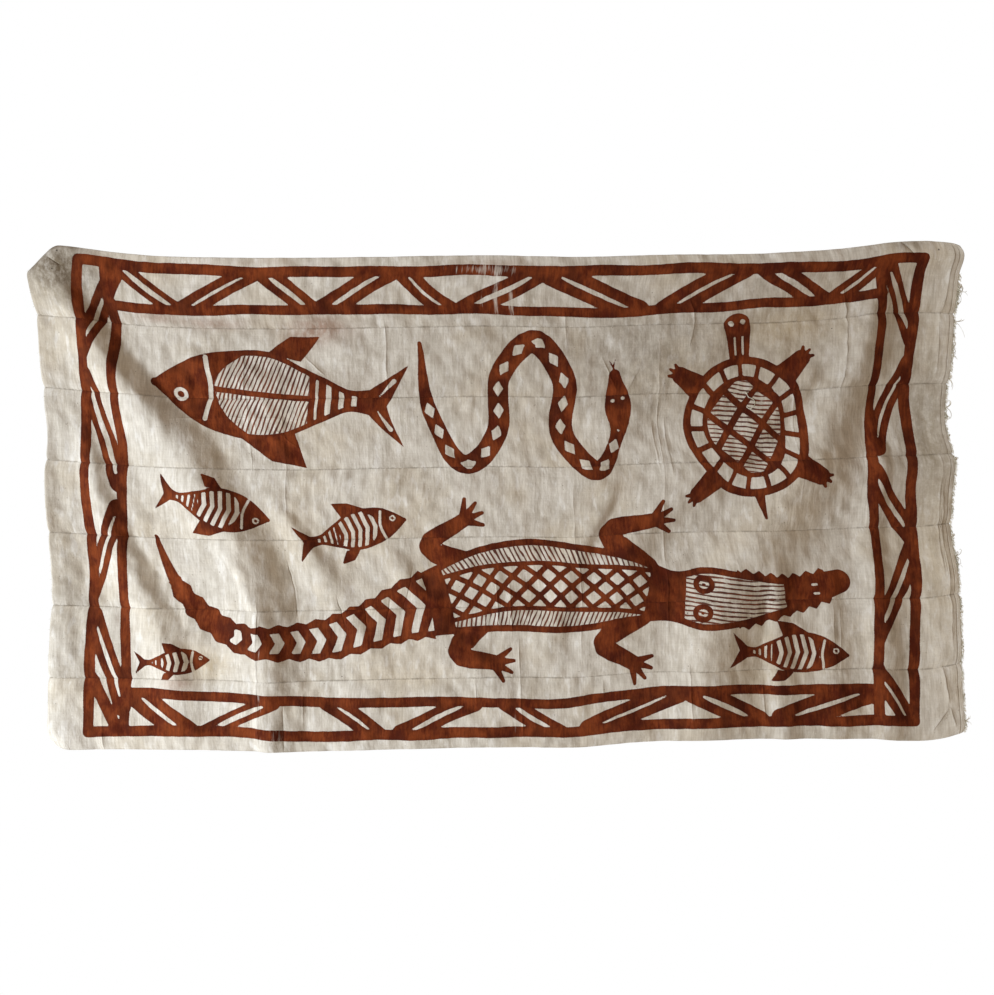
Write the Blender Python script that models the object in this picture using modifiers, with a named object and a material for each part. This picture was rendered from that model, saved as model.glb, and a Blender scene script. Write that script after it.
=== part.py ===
# Korhogo cloth: a painted cotton hanging of seven handwoven strips sewn edge to edge.
# Metres, +Z up. The painted front faces -Y and +X is to the viewer's right.
# The origin is the middle of the top edge, where the cloth is held.

from collections import namedtuple

import bmesh
import bpy
import numpy as np
from mathutils import Vector

# Driving dimensions
STRIP_COUNT = 7
STRIP_HEIGHT = 0.105  # one handwoven band
CLOTH_WIDTH = 1.371  # flat, from the left ends to the frayed right ends
CLOTH_HEIGHT = STRIP_COUNT * STRIP_HEIGHT
CLOTH_THICKNESS = 0.0012  # coarse handspun cotton
PIECE_GAP = 0.0003  # between one piece and the next
FRAY_WIDTH = 0.007  # the unwoven end of each strip
SEAM_PULL = 0.003  # how far the sewing draws in each strip's end corners

# Mesh density
COLUMNS = 68
COLUMN_CROWDING = 0.6  # 0 spaces the columns evenly, more crowds them at both ends
INNER_ROWS = 4
TOP_ROWS = 8
BOTTOM_ROWS = 6
OUTER_ROW_CROWDING = 1.35  # more crowds the rows of the outer strips at the cloth's edge
ROUTE_SAMPLES = 24  # straight runs that a crest is measured along

# Outline of the hanging cloth
# Top and bottom edges: place across the flat cloth, height above the origin.
EdgePoint = namedtuple("EdgePoint", "place offset")
TOP_EDGE = [
    EdgePoint(0.000, 0.020),
    EdgePoint(0.049, 0.014),
    EdgePoint(0.107, 0.0066),
    EdgePoint(0.166, 0.0007),
    EdgePoint(0.342, -0.0037),
    EdgePoint(0.517, -0.0022),
    EdgePoint(0.6855, 0.0),
    EdgePoint(0.810, -0.0022),
    EdgePoint(0.927, 0.0007),
    EdgePoint(1.103, 0.0037),
    EdgePoint(1.220, 0.0124),
    EdgePoint(1.278, 0.0195),
    EdgePoint(1.337, 0.0200),
    EdgePoint(1.371, 0.0150),
]
BOTTOM_EDGE = [
    EdgePoint(0.000, -0.7250),
    EdgePoint(0.198, -0.7254),
    EdgePoint(0.378, -0.7283),
    EdgePoint(0.498, -0.7254),
    EdgePoint(0.700, -0.7218),
    EdgePoint(0.797, -0.7218),
    EdgePoint(0.870, -0.7152),
    EdgePoint(1.020, -0.7100),
    EdgePoint(1.230, -0.7093),
    EdgePoint(1.335, -0.7090),
    EdgePoint(1.371, -0.6980),
]
# Left and right edges: place down the flat cloth, position across the hanging cloth.
LEFT_EDGE = [
    EdgePoint(0.000, -0.688),
    EdgePoint(0.056, -0.687),
    EdgePoint(0.115, -0.676),
    EdgePoint(0.173, -0.672),
    EdgePoint(0.231, -0.665),
    EdgePoint(0.290, -0.660),
    EdgePoint(0.319, -0.663),
    EdgePoint(0.407, -0.659),
    EdgePoint(0.481, -0.652),
    EdgePoint(0.612, -0.657),
    EdgePoint(0.735, -0.659),
]
RIGHT_EDGE = [
    EdgePoint(0.000, 0.681),
    EdgePoint(0.015, 0.684),
    EdgePoint(0.045, 0.677),
    EdgePoint(0.091, 0.672),
    EdgePoint(0.158, 0.666),
    EdgePoint(0.203, 0.662),
    EdgePoint(0.233, 0.656),
    EdgePoint(0.291, 0.660),
    EdgePoint(0.318, 0.669),
    EdgePoint(0.379, 0.666),
    EdgePoint(0.438, 0.665),
    EdgePoint(0.500, 0.675),
    EdgePoint(0.584, 0.679),
    EdgePoint(0.687, 0.683),
    EdgePoint(0.735, 0.687),
]

# Rounded corners: sides of the flat cloth that meet there, and radius.
Corner = namedtuple("Corner", "at_right at_bottom radius")
CORNERS = [
    Corner(at_right=True, at_bottom=False, radius=0.018),
    Corner(at_right=False, at_bottom=True, radius=0.034),
    Corner(at_right=True, at_bottom=True, radius=0.008),
]

# The top left tip is turned back: a point on the fold, the way towards the tip, bend radius.
TIP_FOLD_POINT = (-0.6610, -0.0060)
TIP_FOLD_AWAY = (-0.496, 0.868)
TIP_FOLD_RADIUS = 0.0070
# The turned back tip holds the corner off the wall: where, how far and over what radius.
TIP_LIFT_PLACE = (0.025, 0.020)
TIP_LIFT = 0.0145
TIP_LIFT_RADIUS = 0.095

# Folds, one row each, in flat cloth measured from the top left corner. The crest runs through
# the (across, down) points of its route and stands forward by its height, fading in at the
# first point and out at the last. The widths are from the crest to the flat on either hand.
Fold = namedtuple("Fold", "name route height left_width right_width")
FOLDS = [
    Fold("left swag",
         [(0.015, -0.010), (0.075, 0.118), (0.149, 0.224), (0.214, 0.300), (0.266, 0.388),
          (0.310, 0.490), (0.335, 0.640), (0.340, 0.800)], 0.024, 0.090, 0.060),
    Fold("left second ridge",
         [(0.045, 0.230), (0.078, 0.350), (0.108, 0.451), (0.155, 0.540), (0.190, 0.620),
          (0.215, 0.760)], 0.014, 0.050, 0.038),
    Fold("left margin curl",
         [(-0.020, 0.180), (-0.010, 0.400), (0.012, 0.600), (0.020, 0.900)], 0.009, 0.040, 0.055),
    Fold("left hem ridge",
         [(0.262, 0.420), (0.318, 0.560), (0.326, 0.700), (0.326, 0.900)], 0.008, 0.020, 0.040),
    Fold("right swag",
         [(1.290, -0.030), (1.252, 0.092), (1.212, 0.215), (1.142, 0.335), (1.076, 0.440),
          (1.010, 0.530), (0.985, 0.640), (0.985, 0.860)], 0.028, 0.075, 0.085),
    Fold("right second ridge",
         [(1.240, 0.090), (1.150, 0.200), (1.052, 0.290), (0.964, 0.350), (0.906, 0.412),
          (0.862, 0.490), (0.830, 0.620)], 0.017, 0.060, 0.050),
    Fold("right third ridge",
         [(1.180, 0.020), (1.070, 0.090), (0.995, 0.150), (0.898, 0.228), (0.842, 0.290),
          (0.790, 0.400)], 0.010, 0.050, 0.042),
    Fold("right lower ridge",
         [(1.098, 0.440), (1.095, 0.560), (1.102, 0.700), (1.105, 0.860)], 0.009, 0.026, 0.034),
    Fold("right hem ridge",
         [(1.180, 0.450), (1.178, 0.600), (1.186, 0.860)], 0.006, 0.030, 0.036),
    Fold("right border ridge",
         [(1.258, 0.220), (1.262, 0.330), (1.246, 0.460), (1.260, 0.640), (1.262, 0.860)],
         0.011, 0.034, 0.036),
    Fold("right margin flare",
         [(1.385, -0.200), (1.374, 0.060), (1.380, 0.240), (1.368, 0.430), (1.376, 0.640),
          (1.380, 0.950)], 0.016, 0.072, 0.060),
    Fold("upper left sag",
         [(0.180, 0.120), (0.270, 0.170), (0.390, 0.200), (0.560, 0.205)], 0.006, 0.050, 0.045),
    Fold("middle left ridge",
         [(0.330, 0.340), (0.390, 0.430), (0.440, 0.520), (0.520, 0.640)], 0.007, 0.045, 0.030),
    Fold("middle ridge",
         [(0.500, 0.400), (0.560, 0.520), (0.640, 0.620), (0.760, 0.690)], 0.006, 0.050, 0.040),
    Fold("middle right ridge",
         [(0.880, 0.330), (0.812, 0.430), (0.772, 0.520), (0.730, 0.640)], 0.008, 0.040, 0.030),
]
FADE_IN = 0.22  # share of a route over which its fold rises
FADE_OUT = 0.30  # share over which it sinks again
WIDTH_AT_START = 0.45  # a fold is this narrow where it is gathered, as a share of its widths
TOP_LEAN = 0.005  # the top edge stands this far forward
TOP_LEAN_DEPTH = 0.070

# Loose threads on the right ends, one row each: strip number, place down the strip,
# reach beyond the edge, drop below the root and thickness where it is thickest.
Thread = namedtuple("Thread", "strip place reach drop thickness")
THREADS = [
    Thread(1, 0.064, 0.0130, 0.0230, 0.0022),
    Thread(1, 0.073, 0.0060, 0.0160, 0.0016),
    Thread(1, 0.090, 0.0040, 0.0070, 0.0016),
    Thread(2, 0.012, 0.0090, 0.0190, 0.0022),
    Thread(2, 0.020, 0.0045, 0.0100, 0.0016),
    Thread(2, 0.048, 0.0130, 0.0160, 0.0014),
    Thread(2, 0.057, 0.0060, 0.0180, 0.0016),
    Thread(2, 0.090, 0.0035, 0.0060, 0.0020),
    Thread(3, 0.015, 0.0040, 0.0060, 0.0016),
    Thread(3, 0.030, 0.0130, 0.0120, 0.0014),
    Thread(3, 0.052, 0.0040, 0.0080, 0.0016),
    Thread(3, 0.085, 0.0080, 0.0150, 0.0022),
    Thread(4, 0.009, 0.0100, 0.0210, 0.0024),
    Thread(4, 0.023, 0.0055, 0.0150, 0.0020),
    Thread(4, 0.040, 0.0040, 0.0080, 0.0016),
    Thread(4, 0.062, 0.0050, 0.0060, 0.0016),
    Thread(4, 0.086, 0.0030, 0.0050, 0.0016),
    Thread(5, 0.020, 0.0040, 0.0060, 0.0016),
    Thread(5, 0.038, 0.0120, 0.0080, 0.0020),
    Thread(5, 0.058, 0.0060, 0.0110, 0.0020),
    Thread(5, 0.078, 0.0050, 0.0100, 0.0018),
    Thread(6, 0.014, 0.0035, 0.0060, 0.0016),
    Thread(6, 0.045, 0.0040, 0.0060, 0.0016),
    Thread(6, 0.078, 0.0055, 0.0080, 0.0020),
    Thread(7, 0.022, 0.0035, 0.0060, 0.0016),
    Thread(7, 0.052, 0.0045, 0.0070, 0.0016),
    Thread(7, 0.080, 0.0070, 0.0060, 0.0020),
]
THREAD_ROOT = 0.003  # how deep a thread's root sits in its backing
THREAD_NECK = 0.0004  # a thread leaves its backing this far before it swells
NECK_RADIUS = 0.00042  # thinner than the backing, which the root stays inside
# Share of the reach, share of the drop and share of the thickness at each bend of a thread.
THREAD_BEND = [(0.25, 0.05, 1.0), (0.70, 0.35, 0.8), (1.00, 1.00, 0.45)]

# Materials
COTTON_COLOUR = (0.56, 0.51, 0.43)
COTTON_ROUGHNESS = 0.92
THREAD_COLOUR = (0.62, 0.58, 0.48)


def curve_through(xs, ys, at):
    """Smooth curve through the points (xs, ys), read at the values in at."""
    xs = np.asarray(xs, dtype=float)
    ys = np.asarray(ys, dtype=float)
    slopes = np.gradient(ys, xs)
    at = np.clip(at, xs[0], xs[-1])
    k = np.clip(np.searchsorted(xs, at, side="right") - 1, 0, len(xs) - 2)
    step = xs[k + 1] - xs[k]
    t = (at - xs[k]) / step
    rise = t * t * (3.0 - 2.0 * t)
    lead = t * (1.0 - t) * (1.0 - t)
    trail = t * t * (t - 1.0)
    return ys[k] + (ys[k + 1] - ys[k]) * rise + step * (slopes[k] * lead + slopes[k + 1] * trail)


def edge_curve(edge, at):
    """Reads one of the edge tables."""
    return curve_through([p.place for p in edge], [p.offset for p in edge], at)


def sampled_route(fold):
    """Points along a fold's crest, evenly spread by length."""
    route = np.array(fold.route)
    length = np.concatenate([[0.0], np.cumsum(np.hypot(*np.diff(route, axis=0).T))])
    at = np.linspace(0.0, length[-1], ROUTE_SAMPLES)
    return np.column_stack([curve_through(length, route[:, axis], at) for axis in (0, 1)])


def smooth_step(value):
    value = np.clip(value, 0.0, 1.0)
    return value * value * (3.0 - 2.0 * value)


def cosine_bump(distance):
    """1 at distance 0, sinking as half a cosine wave to 0 at distance 1 and beyond."""
    return 0.5 * (1.0 + np.cos(np.pi * np.clip(distance, 0.0, 1.0)))


def fold_offset(fold, across, down):
    """Forward offset of one fold, a bump of the distance to its crest."""
    points = sampled_route(fold)
    nearest = np.full(np.shape(across), np.inf)
    along = np.zeros(np.shape(across))
    hand = np.zeros(np.shape(across))
    for index, (start, end) in enumerate(zip(points[:-1], points[1:])):
        run = end - start
        out_across = across - start[0]
        out_down = down - start[1]
        t = np.clip((out_across * run[0] + out_down * run[1]) / (run @ run), 0.0, 1.0)
        distance = np.hypot(out_across - t * run[0], out_down - t * run[1])
        closer = distance < nearest
        nearest = np.where(closer, distance, nearest)
        along = np.where(closer, (index + t) / (ROUTE_SAMPLES - 1), along)
        hand = np.where(closer, out_across * run[1] - out_down * run[0], hand)
    spread = WIDTH_AT_START + (1.0 - WIDTH_AT_START) * smooth_step(2.0 * along)
    width = np.where(hand > 0.0, fold.right_width, fold.left_width) * spread
    fade = smooth_step(along / FADE_IN) * smooth_step((1.0 - along) / FADE_OUT)
    return fold.height * fade * cosine_bump(nearest / width)


def forward_offset(across, down):
    """How far the cloth stands forward of the wall at a place in the flat cloth."""
    total = TOP_LEAN * (1.0 - np.clip(down / TOP_LEAN_DEPTH, 0.0, 1.0)) ** 2
    from_tip = np.hypot(across - TIP_LIFT_PLACE[0], down - TIP_LIFT_PLACE[1])
    total = total + TIP_LIFT * cosine_bump(from_tip / TIP_LIFT_RADIUS)
    for fold in FOLDS:
        total = total + fold_offset(fold, across, down)
    return total


def round_corners(across, down):
    """Moves places near a rounded corner of the flat cloth onto its quarter circle."""
    for corner in CORNERS:
        from_side = CLOTH_WIDTH - across if corner.at_right else across
        from_end = CLOTH_HEIGHT - down if corner.at_bottom else down
        p = np.clip(1.0 - from_side / corner.radius, 0.0, 1.0)
        q = np.clip(1.0 - from_end / corner.radius, 0.0, 1.0)
        side_shift = corner.radius * p * (1.0 - np.sqrt(1.0 - q * q / 2.0))
        end_shift = corner.radius * q * (1.0 - np.sqrt(1.0 - p * p / 2.0))
        across = across - side_shift if corner.at_right else across + side_shift
        down = down - end_shift if corner.at_bottom else down + end_shift
    return across, down


def turn_tip_back(points):
    """Bends what lies past the tip's fold line round a cylinder, then straight back under."""
    away = Vector(TIP_FOLD_AWAY).normalized()
    past = (points[:, 0] - TIP_FOLD_POINT[0]) * away.x + (points[:, 2] - TIP_FOLD_POINT[1]) * away.y
    past = np.maximum(past, 0.0)
    half_turn = np.pi * TIP_FOLD_RADIUS
    angle = np.minimum(past, half_turn) / TIP_FOLD_RADIUS
    beyond = np.maximum(past - half_turn, 0.0)
    reach = TIP_FOLD_RADIUS * np.sin(angle) - beyond
    points[:, 0] += (reach - past) * away.x
    points[:, 2] += (reach - past) * away.y
    points[:, 1] += TIP_FOLD_RADIUS * (1.0 - np.cos(angle))
    return points


def hanging_points(across, down):
    """Places in the flat cloth, as points halfway through the hanging cloth."""
    across, down = round_corners(across, down)
    left = edge_curve(LEFT_EDGE, down)
    right = edge_curve(RIGHT_EDGE, down)
    seam_phase = np.abs(2.0 * np.mod(down / STRIP_HEIGHT, 1.0) - 1.0)
    pull = SEAM_PULL * seam_phase ** 8
    share = across / CLOTH_WIDTH
    x = left + pull + (right - left - 2.0 * pull) * share
    top = edge_curve(TOP_EDGE, across)
    bottom = edge_curve(BOTTOM_EDGE, across)
    z = top + (bottom - top) * down / CLOTH_HEIGHT
    y = -forward_offset(across, down)
    return turn_tip_back(np.column_stack([x, y, z]))


def column_places(start, end):
    """Places across the cloth, closer together at both ends."""
    even = np.linspace(0.0, 1.0, COLUMNS + 1)
    share = even - COLUMN_CROWDING * np.sin(2.0 * np.pi * even) / (2.0 * np.pi)
    return start + (end - start) * share


def row_places(strip):
    """Places down the cloth for one strip, closer together at the cloth's top and bottom."""
    start = (strip - 1) * STRIP_HEIGHT + (PIECE_GAP / 2.0 if strip > 1 else 0.0)
    end = strip * STRIP_HEIGHT - (PIECE_GAP / 2.0 if strip < STRIP_COUNT else 0.0)
    if strip == 1:
        share = np.linspace(0.0, 1.0, TOP_ROWS + 1) ** OUTER_ROW_CROWDING
    elif strip == STRIP_COUNT:
        share = 1.0 - np.linspace(1.0, 0.0, BOTTOM_ROWS + 1) ** OUTER_ROW_CROWDING
    else:
        share = np.linspace(0.0, 1.0, INNER_ROWS + 1)
    return start + (end - start) * share


def make_material(name, colour, roughness):
    material = bpy.data.materials.new(name)
    material.use_nodes = True
    shader = material.node_tree.nodes["Principled BSDF"]
    shader.inputs["Base Color"].default_value = (*colour, 1.0)
    shader.inputs["Roughness"].default_value = roughness
    shader.inputs["Metallic"].default_value = 0.0
    return material


def make_sheet(name, columns, rows, collection):
    """A grid laid on the hanging surface, thickened evenly to both sides."""
    across_cells = len(columns) - 1
    down_cells = len(rows) - 1
    mesh = bpy.data.meshes.new(name)
    grid = bmesh.new()
    bmesh.ops.create_grid(grid, x_segments=across_cells, y_segments=down_cells, size=0.5)
    grid.to_mesh(mesh)
    grid.free()
    flat = np.empty(len(mesh.vertices) * 3)
    mesh.vertices.foreach_get("co", flat)
    flat = flat.reshape(-1, 3)
    column = np.rint((flat[:, 0] + 0.5) * across_cells).astype(int)
    row = np.rint((0.5 - flat[:, 1]) * down_cells).astype(int)
    mesh.vertices.foreach_set("co", hanging_points(columns[column], rows[row]).ravel())
    mesh.shade_smooth()
    mesh.update()
    sheet = bpy.data.objects.new(name, mesh)
    collection.objects.link(sheet)
    solidify = sheet.modifiers.new("thickness", "SOLIDIFY")
    solidify.thickness = CLOTH_THICKNESS
    solidify.offset = 0.0
    return sheet


def make_strip(strip, collection):
    columns = column_places(0.0, CLOTH_WIDTH - FRAY_WIDTH - PIECE_GAP)
    sheet = make_sheet(f"strip_{strip}", columns, row_places(strip), collection)
    sheet.data.materials.append(make_material(f"cotton_{strip}", COTTON_COLOUR, COTTON_ROUGHNESS))


def backing_edge(across, down):
    """A place on the straight-sided edge of a strip's backing, between two of its rows."""
    rows = np.concatenate([row_places(strip) for strip in range(1, STRIP_COUNT + 1)])
    edge = hanging_points(np.full(len(rows), across), rows)
    return Vector([np.interp(down, rows, edge[:, axis]) for axis in range(3)])


def thread_path(thread):
    """Middle line and radii of one loose thread: out of the backing, then bending down."""
    root_down = (thread.strip - 1) * STRIP_HEIGHT + thread.place
    inner = backing_edge(CLOTH_WIDTH - FRAY_WIDTH, root_down)
    outer = backing_edge(CLOTH_WIDTH, root_down)
    line = [outer.lerp(inner, THREAD_ROOT / FRAY_WIDTH), outer + Vector((THREAD_NECK, 0.0, 0.0))]
    radii = [NECK_RADIUS, NECK_RADIUS]
    for reach, drop, swell in THREAD_BEND:
        edge = backing_edge(CLOTH_WIDTH, root_down + drop * thread.drop)
        line.append(edge + Vector((THREAD_NECK + reach * thread.reach, 0.0, 0.0)))
        radii.append(swell * thread.thickness / 2.0)
    return line, radii


def make_thread(thread, name, collection):
    """A tapering four-sided tube as a closed mesh."""
    curve = bpy.data.curves.new(name, "CURVE")
    curve.dimensions = "3D"
    curve.bevel_depth = 1.0
    curve.bevel_resolution = 0
    curve.use_fill_caps = True
    line, radii = thread_path(thread)
    spline = curve.splines.new("POLY")
    spline.points.add(len(line) - 1)
    for target, point, radius in zip(spline.points, line, radii):
        target.co = (*point, 1.0)
        target.radius = radius
    guide = bpy.data.objects.new(name, curve)
    collection.objects.link(guide)
    bpy.context.view_layer.update()
    evaluated = guide.evaluated_get(bpy.context.evaluated_depsgraph_get())
    mesh = bpy.data.meshes.new_from_object(evaluated)
    welded = bmesh.new()
    welded.from_mesh(mesh)
    bmesh.ops.remove_doubles(welded, verts=welded.verts, dist=0.00001)
    welded.to_mesh(mesh)
    welded.free()
    solid = bpy.data.objects.new(name, mesh)
    solid.matrix_world = guide.matrix_world
    collection.objects.link(solid)
    bpy.data.objects.remove(guide)
    solid.hide_render = True
    solid.display_type = "WIRE"
    return solid


def make_fray(strip, collection, cutters):
    """The raw end of one strip: a narrow backing with its threads fused on."""
    columns = np.array([CLOTH_WIDTH - FRAY_WIDTH, CLOTH_WIDTH])
    sheet = make_sheet(f"fray_{strip}", columns, row_places(strip), collection)
    sheet.data.materials.append(make_material(f"threads_{strip}", THREAD_COLOUR, COTTON_ROUGHNESS))
    for index, thread in enumerate(t for t in THREADS if t.strip == strip):
        solid = make_thread(thread, f"thread_{strip}_{index + 1}", cutters)
        join = sheet.modifiers.new(solid.name, "BOOLEAN")
        join.operation = "UNION"
        join.object = solid


def main():
    for old in list(bpy.data.objects):
        bpy.data.objects.remove(old)
    cloth = bpy.data.collections.new("korhogo_cloth")
    cutters = bpy.data.collections.new("thread_cutters")
    for collection in (cloth, cutters):
        bpy.context.scene.collection.children.link(collection)
    for strip in range(1, STRIP_COUNT + 1):
        make_strip(strip, cloth)
        make_fray(strip, cloth, cutters)


main()
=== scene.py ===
import math

import bpy
import numpy as np
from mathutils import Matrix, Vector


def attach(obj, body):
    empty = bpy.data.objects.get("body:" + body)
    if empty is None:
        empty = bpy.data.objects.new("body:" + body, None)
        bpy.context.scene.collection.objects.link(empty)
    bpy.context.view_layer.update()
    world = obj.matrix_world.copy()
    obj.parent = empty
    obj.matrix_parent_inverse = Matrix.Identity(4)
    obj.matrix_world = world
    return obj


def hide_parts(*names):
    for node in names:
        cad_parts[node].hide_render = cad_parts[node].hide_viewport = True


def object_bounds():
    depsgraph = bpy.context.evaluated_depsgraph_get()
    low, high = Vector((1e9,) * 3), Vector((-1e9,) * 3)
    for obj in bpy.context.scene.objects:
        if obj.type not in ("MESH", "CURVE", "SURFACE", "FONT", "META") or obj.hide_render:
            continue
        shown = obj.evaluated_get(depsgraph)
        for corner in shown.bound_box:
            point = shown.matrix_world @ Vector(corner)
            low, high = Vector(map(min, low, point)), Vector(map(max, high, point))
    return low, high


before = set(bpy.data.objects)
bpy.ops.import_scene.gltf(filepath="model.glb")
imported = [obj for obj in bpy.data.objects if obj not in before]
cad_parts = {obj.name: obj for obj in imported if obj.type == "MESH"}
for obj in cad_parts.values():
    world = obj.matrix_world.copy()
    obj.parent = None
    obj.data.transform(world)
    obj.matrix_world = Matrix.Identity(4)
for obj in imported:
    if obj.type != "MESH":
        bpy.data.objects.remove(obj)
cadLow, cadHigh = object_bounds()
print("frame loaded:", len(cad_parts), "solids")

# The cloth in the sizes that its solids have, in metres. "Across" runs from the left end to the right
# end of the flat cloth, and "down" from its top selvedge to its bottom one.
cloth = dict(
    width=1.371,
    height=0.735,
    thickness=0.0012,
    strips=7,
    stripHeight=0.105,
    gap=0.0003,
    frayWidth=0.007,
    seamPull=0.003,
    topLean=0.005,
    topLeanDepth=0.070,
    foldFadeIn=0.22,
    foldFadeOut=0.30,
    foldStartWidth=0.45,
    routeSamples=24,
)


# Formula: a cubic curve from point to point, whose slope at each is the mean of its neighbours' slopes.
def curveThrough(places, values, at):
    slopes = np.gradient(values, places)
    at = np.clip(at, places[0], places[-1])
    first = np.clip(np.searchsorted(places, at, side="right") - 1, 0, len(places) - 2)
    step = places[first + 1] - places[first]
    share = (at - places[first]) / step
    rise = share * share * (3.0 - 2.0 * share)
    lead = share * (1.0 - share) * (1.0 - share)
    trail = share * share * (share - 1.0)
    return (
        values[first]
        + (values[first + 1] - values[first]) * rise
        + step * (slopes[first] * lead + slopes[first + 1] * trail)
    )


# The outline of the hung cloth: place along the edge, and the height or x of the edge there.
edges = dict(
    top=[(0.000, 0.0200), (0.049, 0.0140), (0.107, 0.0066), (0.166, 0.0007), (0.342, -0.0037),
         (0.517, -0.0022), (0.6855, 0.0000), (0.810, -0.0022), (0.927, 0.0007), (1.103, 0.0037),
         (1.220, 0.0124), (1.278, 0.0195), (1.337, 0.0200), (1.371, 0.0150)],
    bottom=[(0.000, -0.7250), (0.198, -0.7254), (0.378, -0.7283), (0.498, -0.7254), (0.700, -0.7218),
            (0.797, -0.7218), (0.870, -0.7152), (1.020, -0.7100), (1.230, -0.7093), (1.335, -0.7090),
            (1.371, -0.6980)],
    left=[(0.000, -0.688), (0.056, -0.687), (0.115, -0.676), (0.173, -0.672), (0.231, -0.665),
          (0.290, -0.660), (0.319, -0.663), (0.407, -0.659), (0.481, -0.652), (0.612, -0.657),
          (0.735, -0.659)],
    right=[(0.000, 0.681), (0.015, 0.684), (0.045, 0.677), (0.091, 0.672), (0.158, 0.666), (0.203, 0.662),
           (0.233, 0.656), (0.291, 0.660), (0.318, 0.669), (0.379, 0.666), (0.438, 0.665), (0.500, 0.675),
           (0.584, 0.679), (0.687, 0.683), (0.735, 0.687)],
)


def edgeCurve(name, at):
    table = np.array(edges[name])
    return curveThrough(table[:, 0], table[:, 1], at)


# Formula: points at even steps along a smooth curve through the route's own points.
def smoothRoute(route, samples):
    points = np.array(route, float)
    length = np.concatenate([[0.0], np.cumsum(np.hypot(*np.diff(points, axis=0).T))])
    at = np.linspace(0.0, length[-1], samples)
    return np.column_stack([curveThrough(length, points[:, axis], at) for axis in (0, 1)])


# Formula: 0 below 0, 1 above 1, and three squares less two cubes between.
def smoothStep(value):
    held = np.clip(value, 0.0, 1.0)
    return held * held * (3.0 - 2.0 * held)


# Formula: 1 at no distance, falling to 0 at a distance of 1 along half a cosine wave.
def cosineBump(distance):
    return 0.5 * (1.0 + np.cos(np.pi * np.clip(distance, 0.0, 1.0)))


# Formula: for each point the nearest place on a path of straight runs: how far off it is, how far along
# the path, and on which hand, which is the cross product of the way out and the run.
def alongPath(across, down, path):
    runs = np.diff(path, axis=0)
    sizes = np.hypot(runs[:, 0], runs[:, 1])
    starts = np.concatenate([[0.0], np.cumsum(sizes)])
    nearest = np.full(across.shape, np.inf)
    length = np.zeros(across.shape)
    hand = np.zeros(across.shape)
    for index, run in enumerate(runs):
        here = path[index]
        share = ((across - here[0]) * run[0] + (down - here[1]) * run[1]) / sizes[index] ** 2
        share = np.clip(share, 0.0, 1.0)
        outAcross = across - here[0] - share * run[0]
        outDown = down - here[1] - share * run[1]
        distance = np.hypot(outAcross, outDown)
        closer = distance < nearest
        nearest = np.where(closer, distance, nearest)
        length = np.where(closer, starts[index] + share * sizes[index], length)
        hand = np.where(closer, outAcross * run[1] - outDown * run[0], hand)
    return nearest, length, hand


# A work saver: runs a function only on the points inside a path's box, with a margin, and gives
# the resting value everywhere else.
def onlyNear(across, down, path, margin, resting, work):
    low, high = np.min(path, axis=0) - margin, np.max(path, axis=0) + margin
    near = (across > low[0]) & (across < high[0]) & (down > low[1]) & (down < high[1])
    whole = np.full(across.shape, resting)
    if near.any():
        whole[near] = work(across[near], down[near])
    return whole


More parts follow.
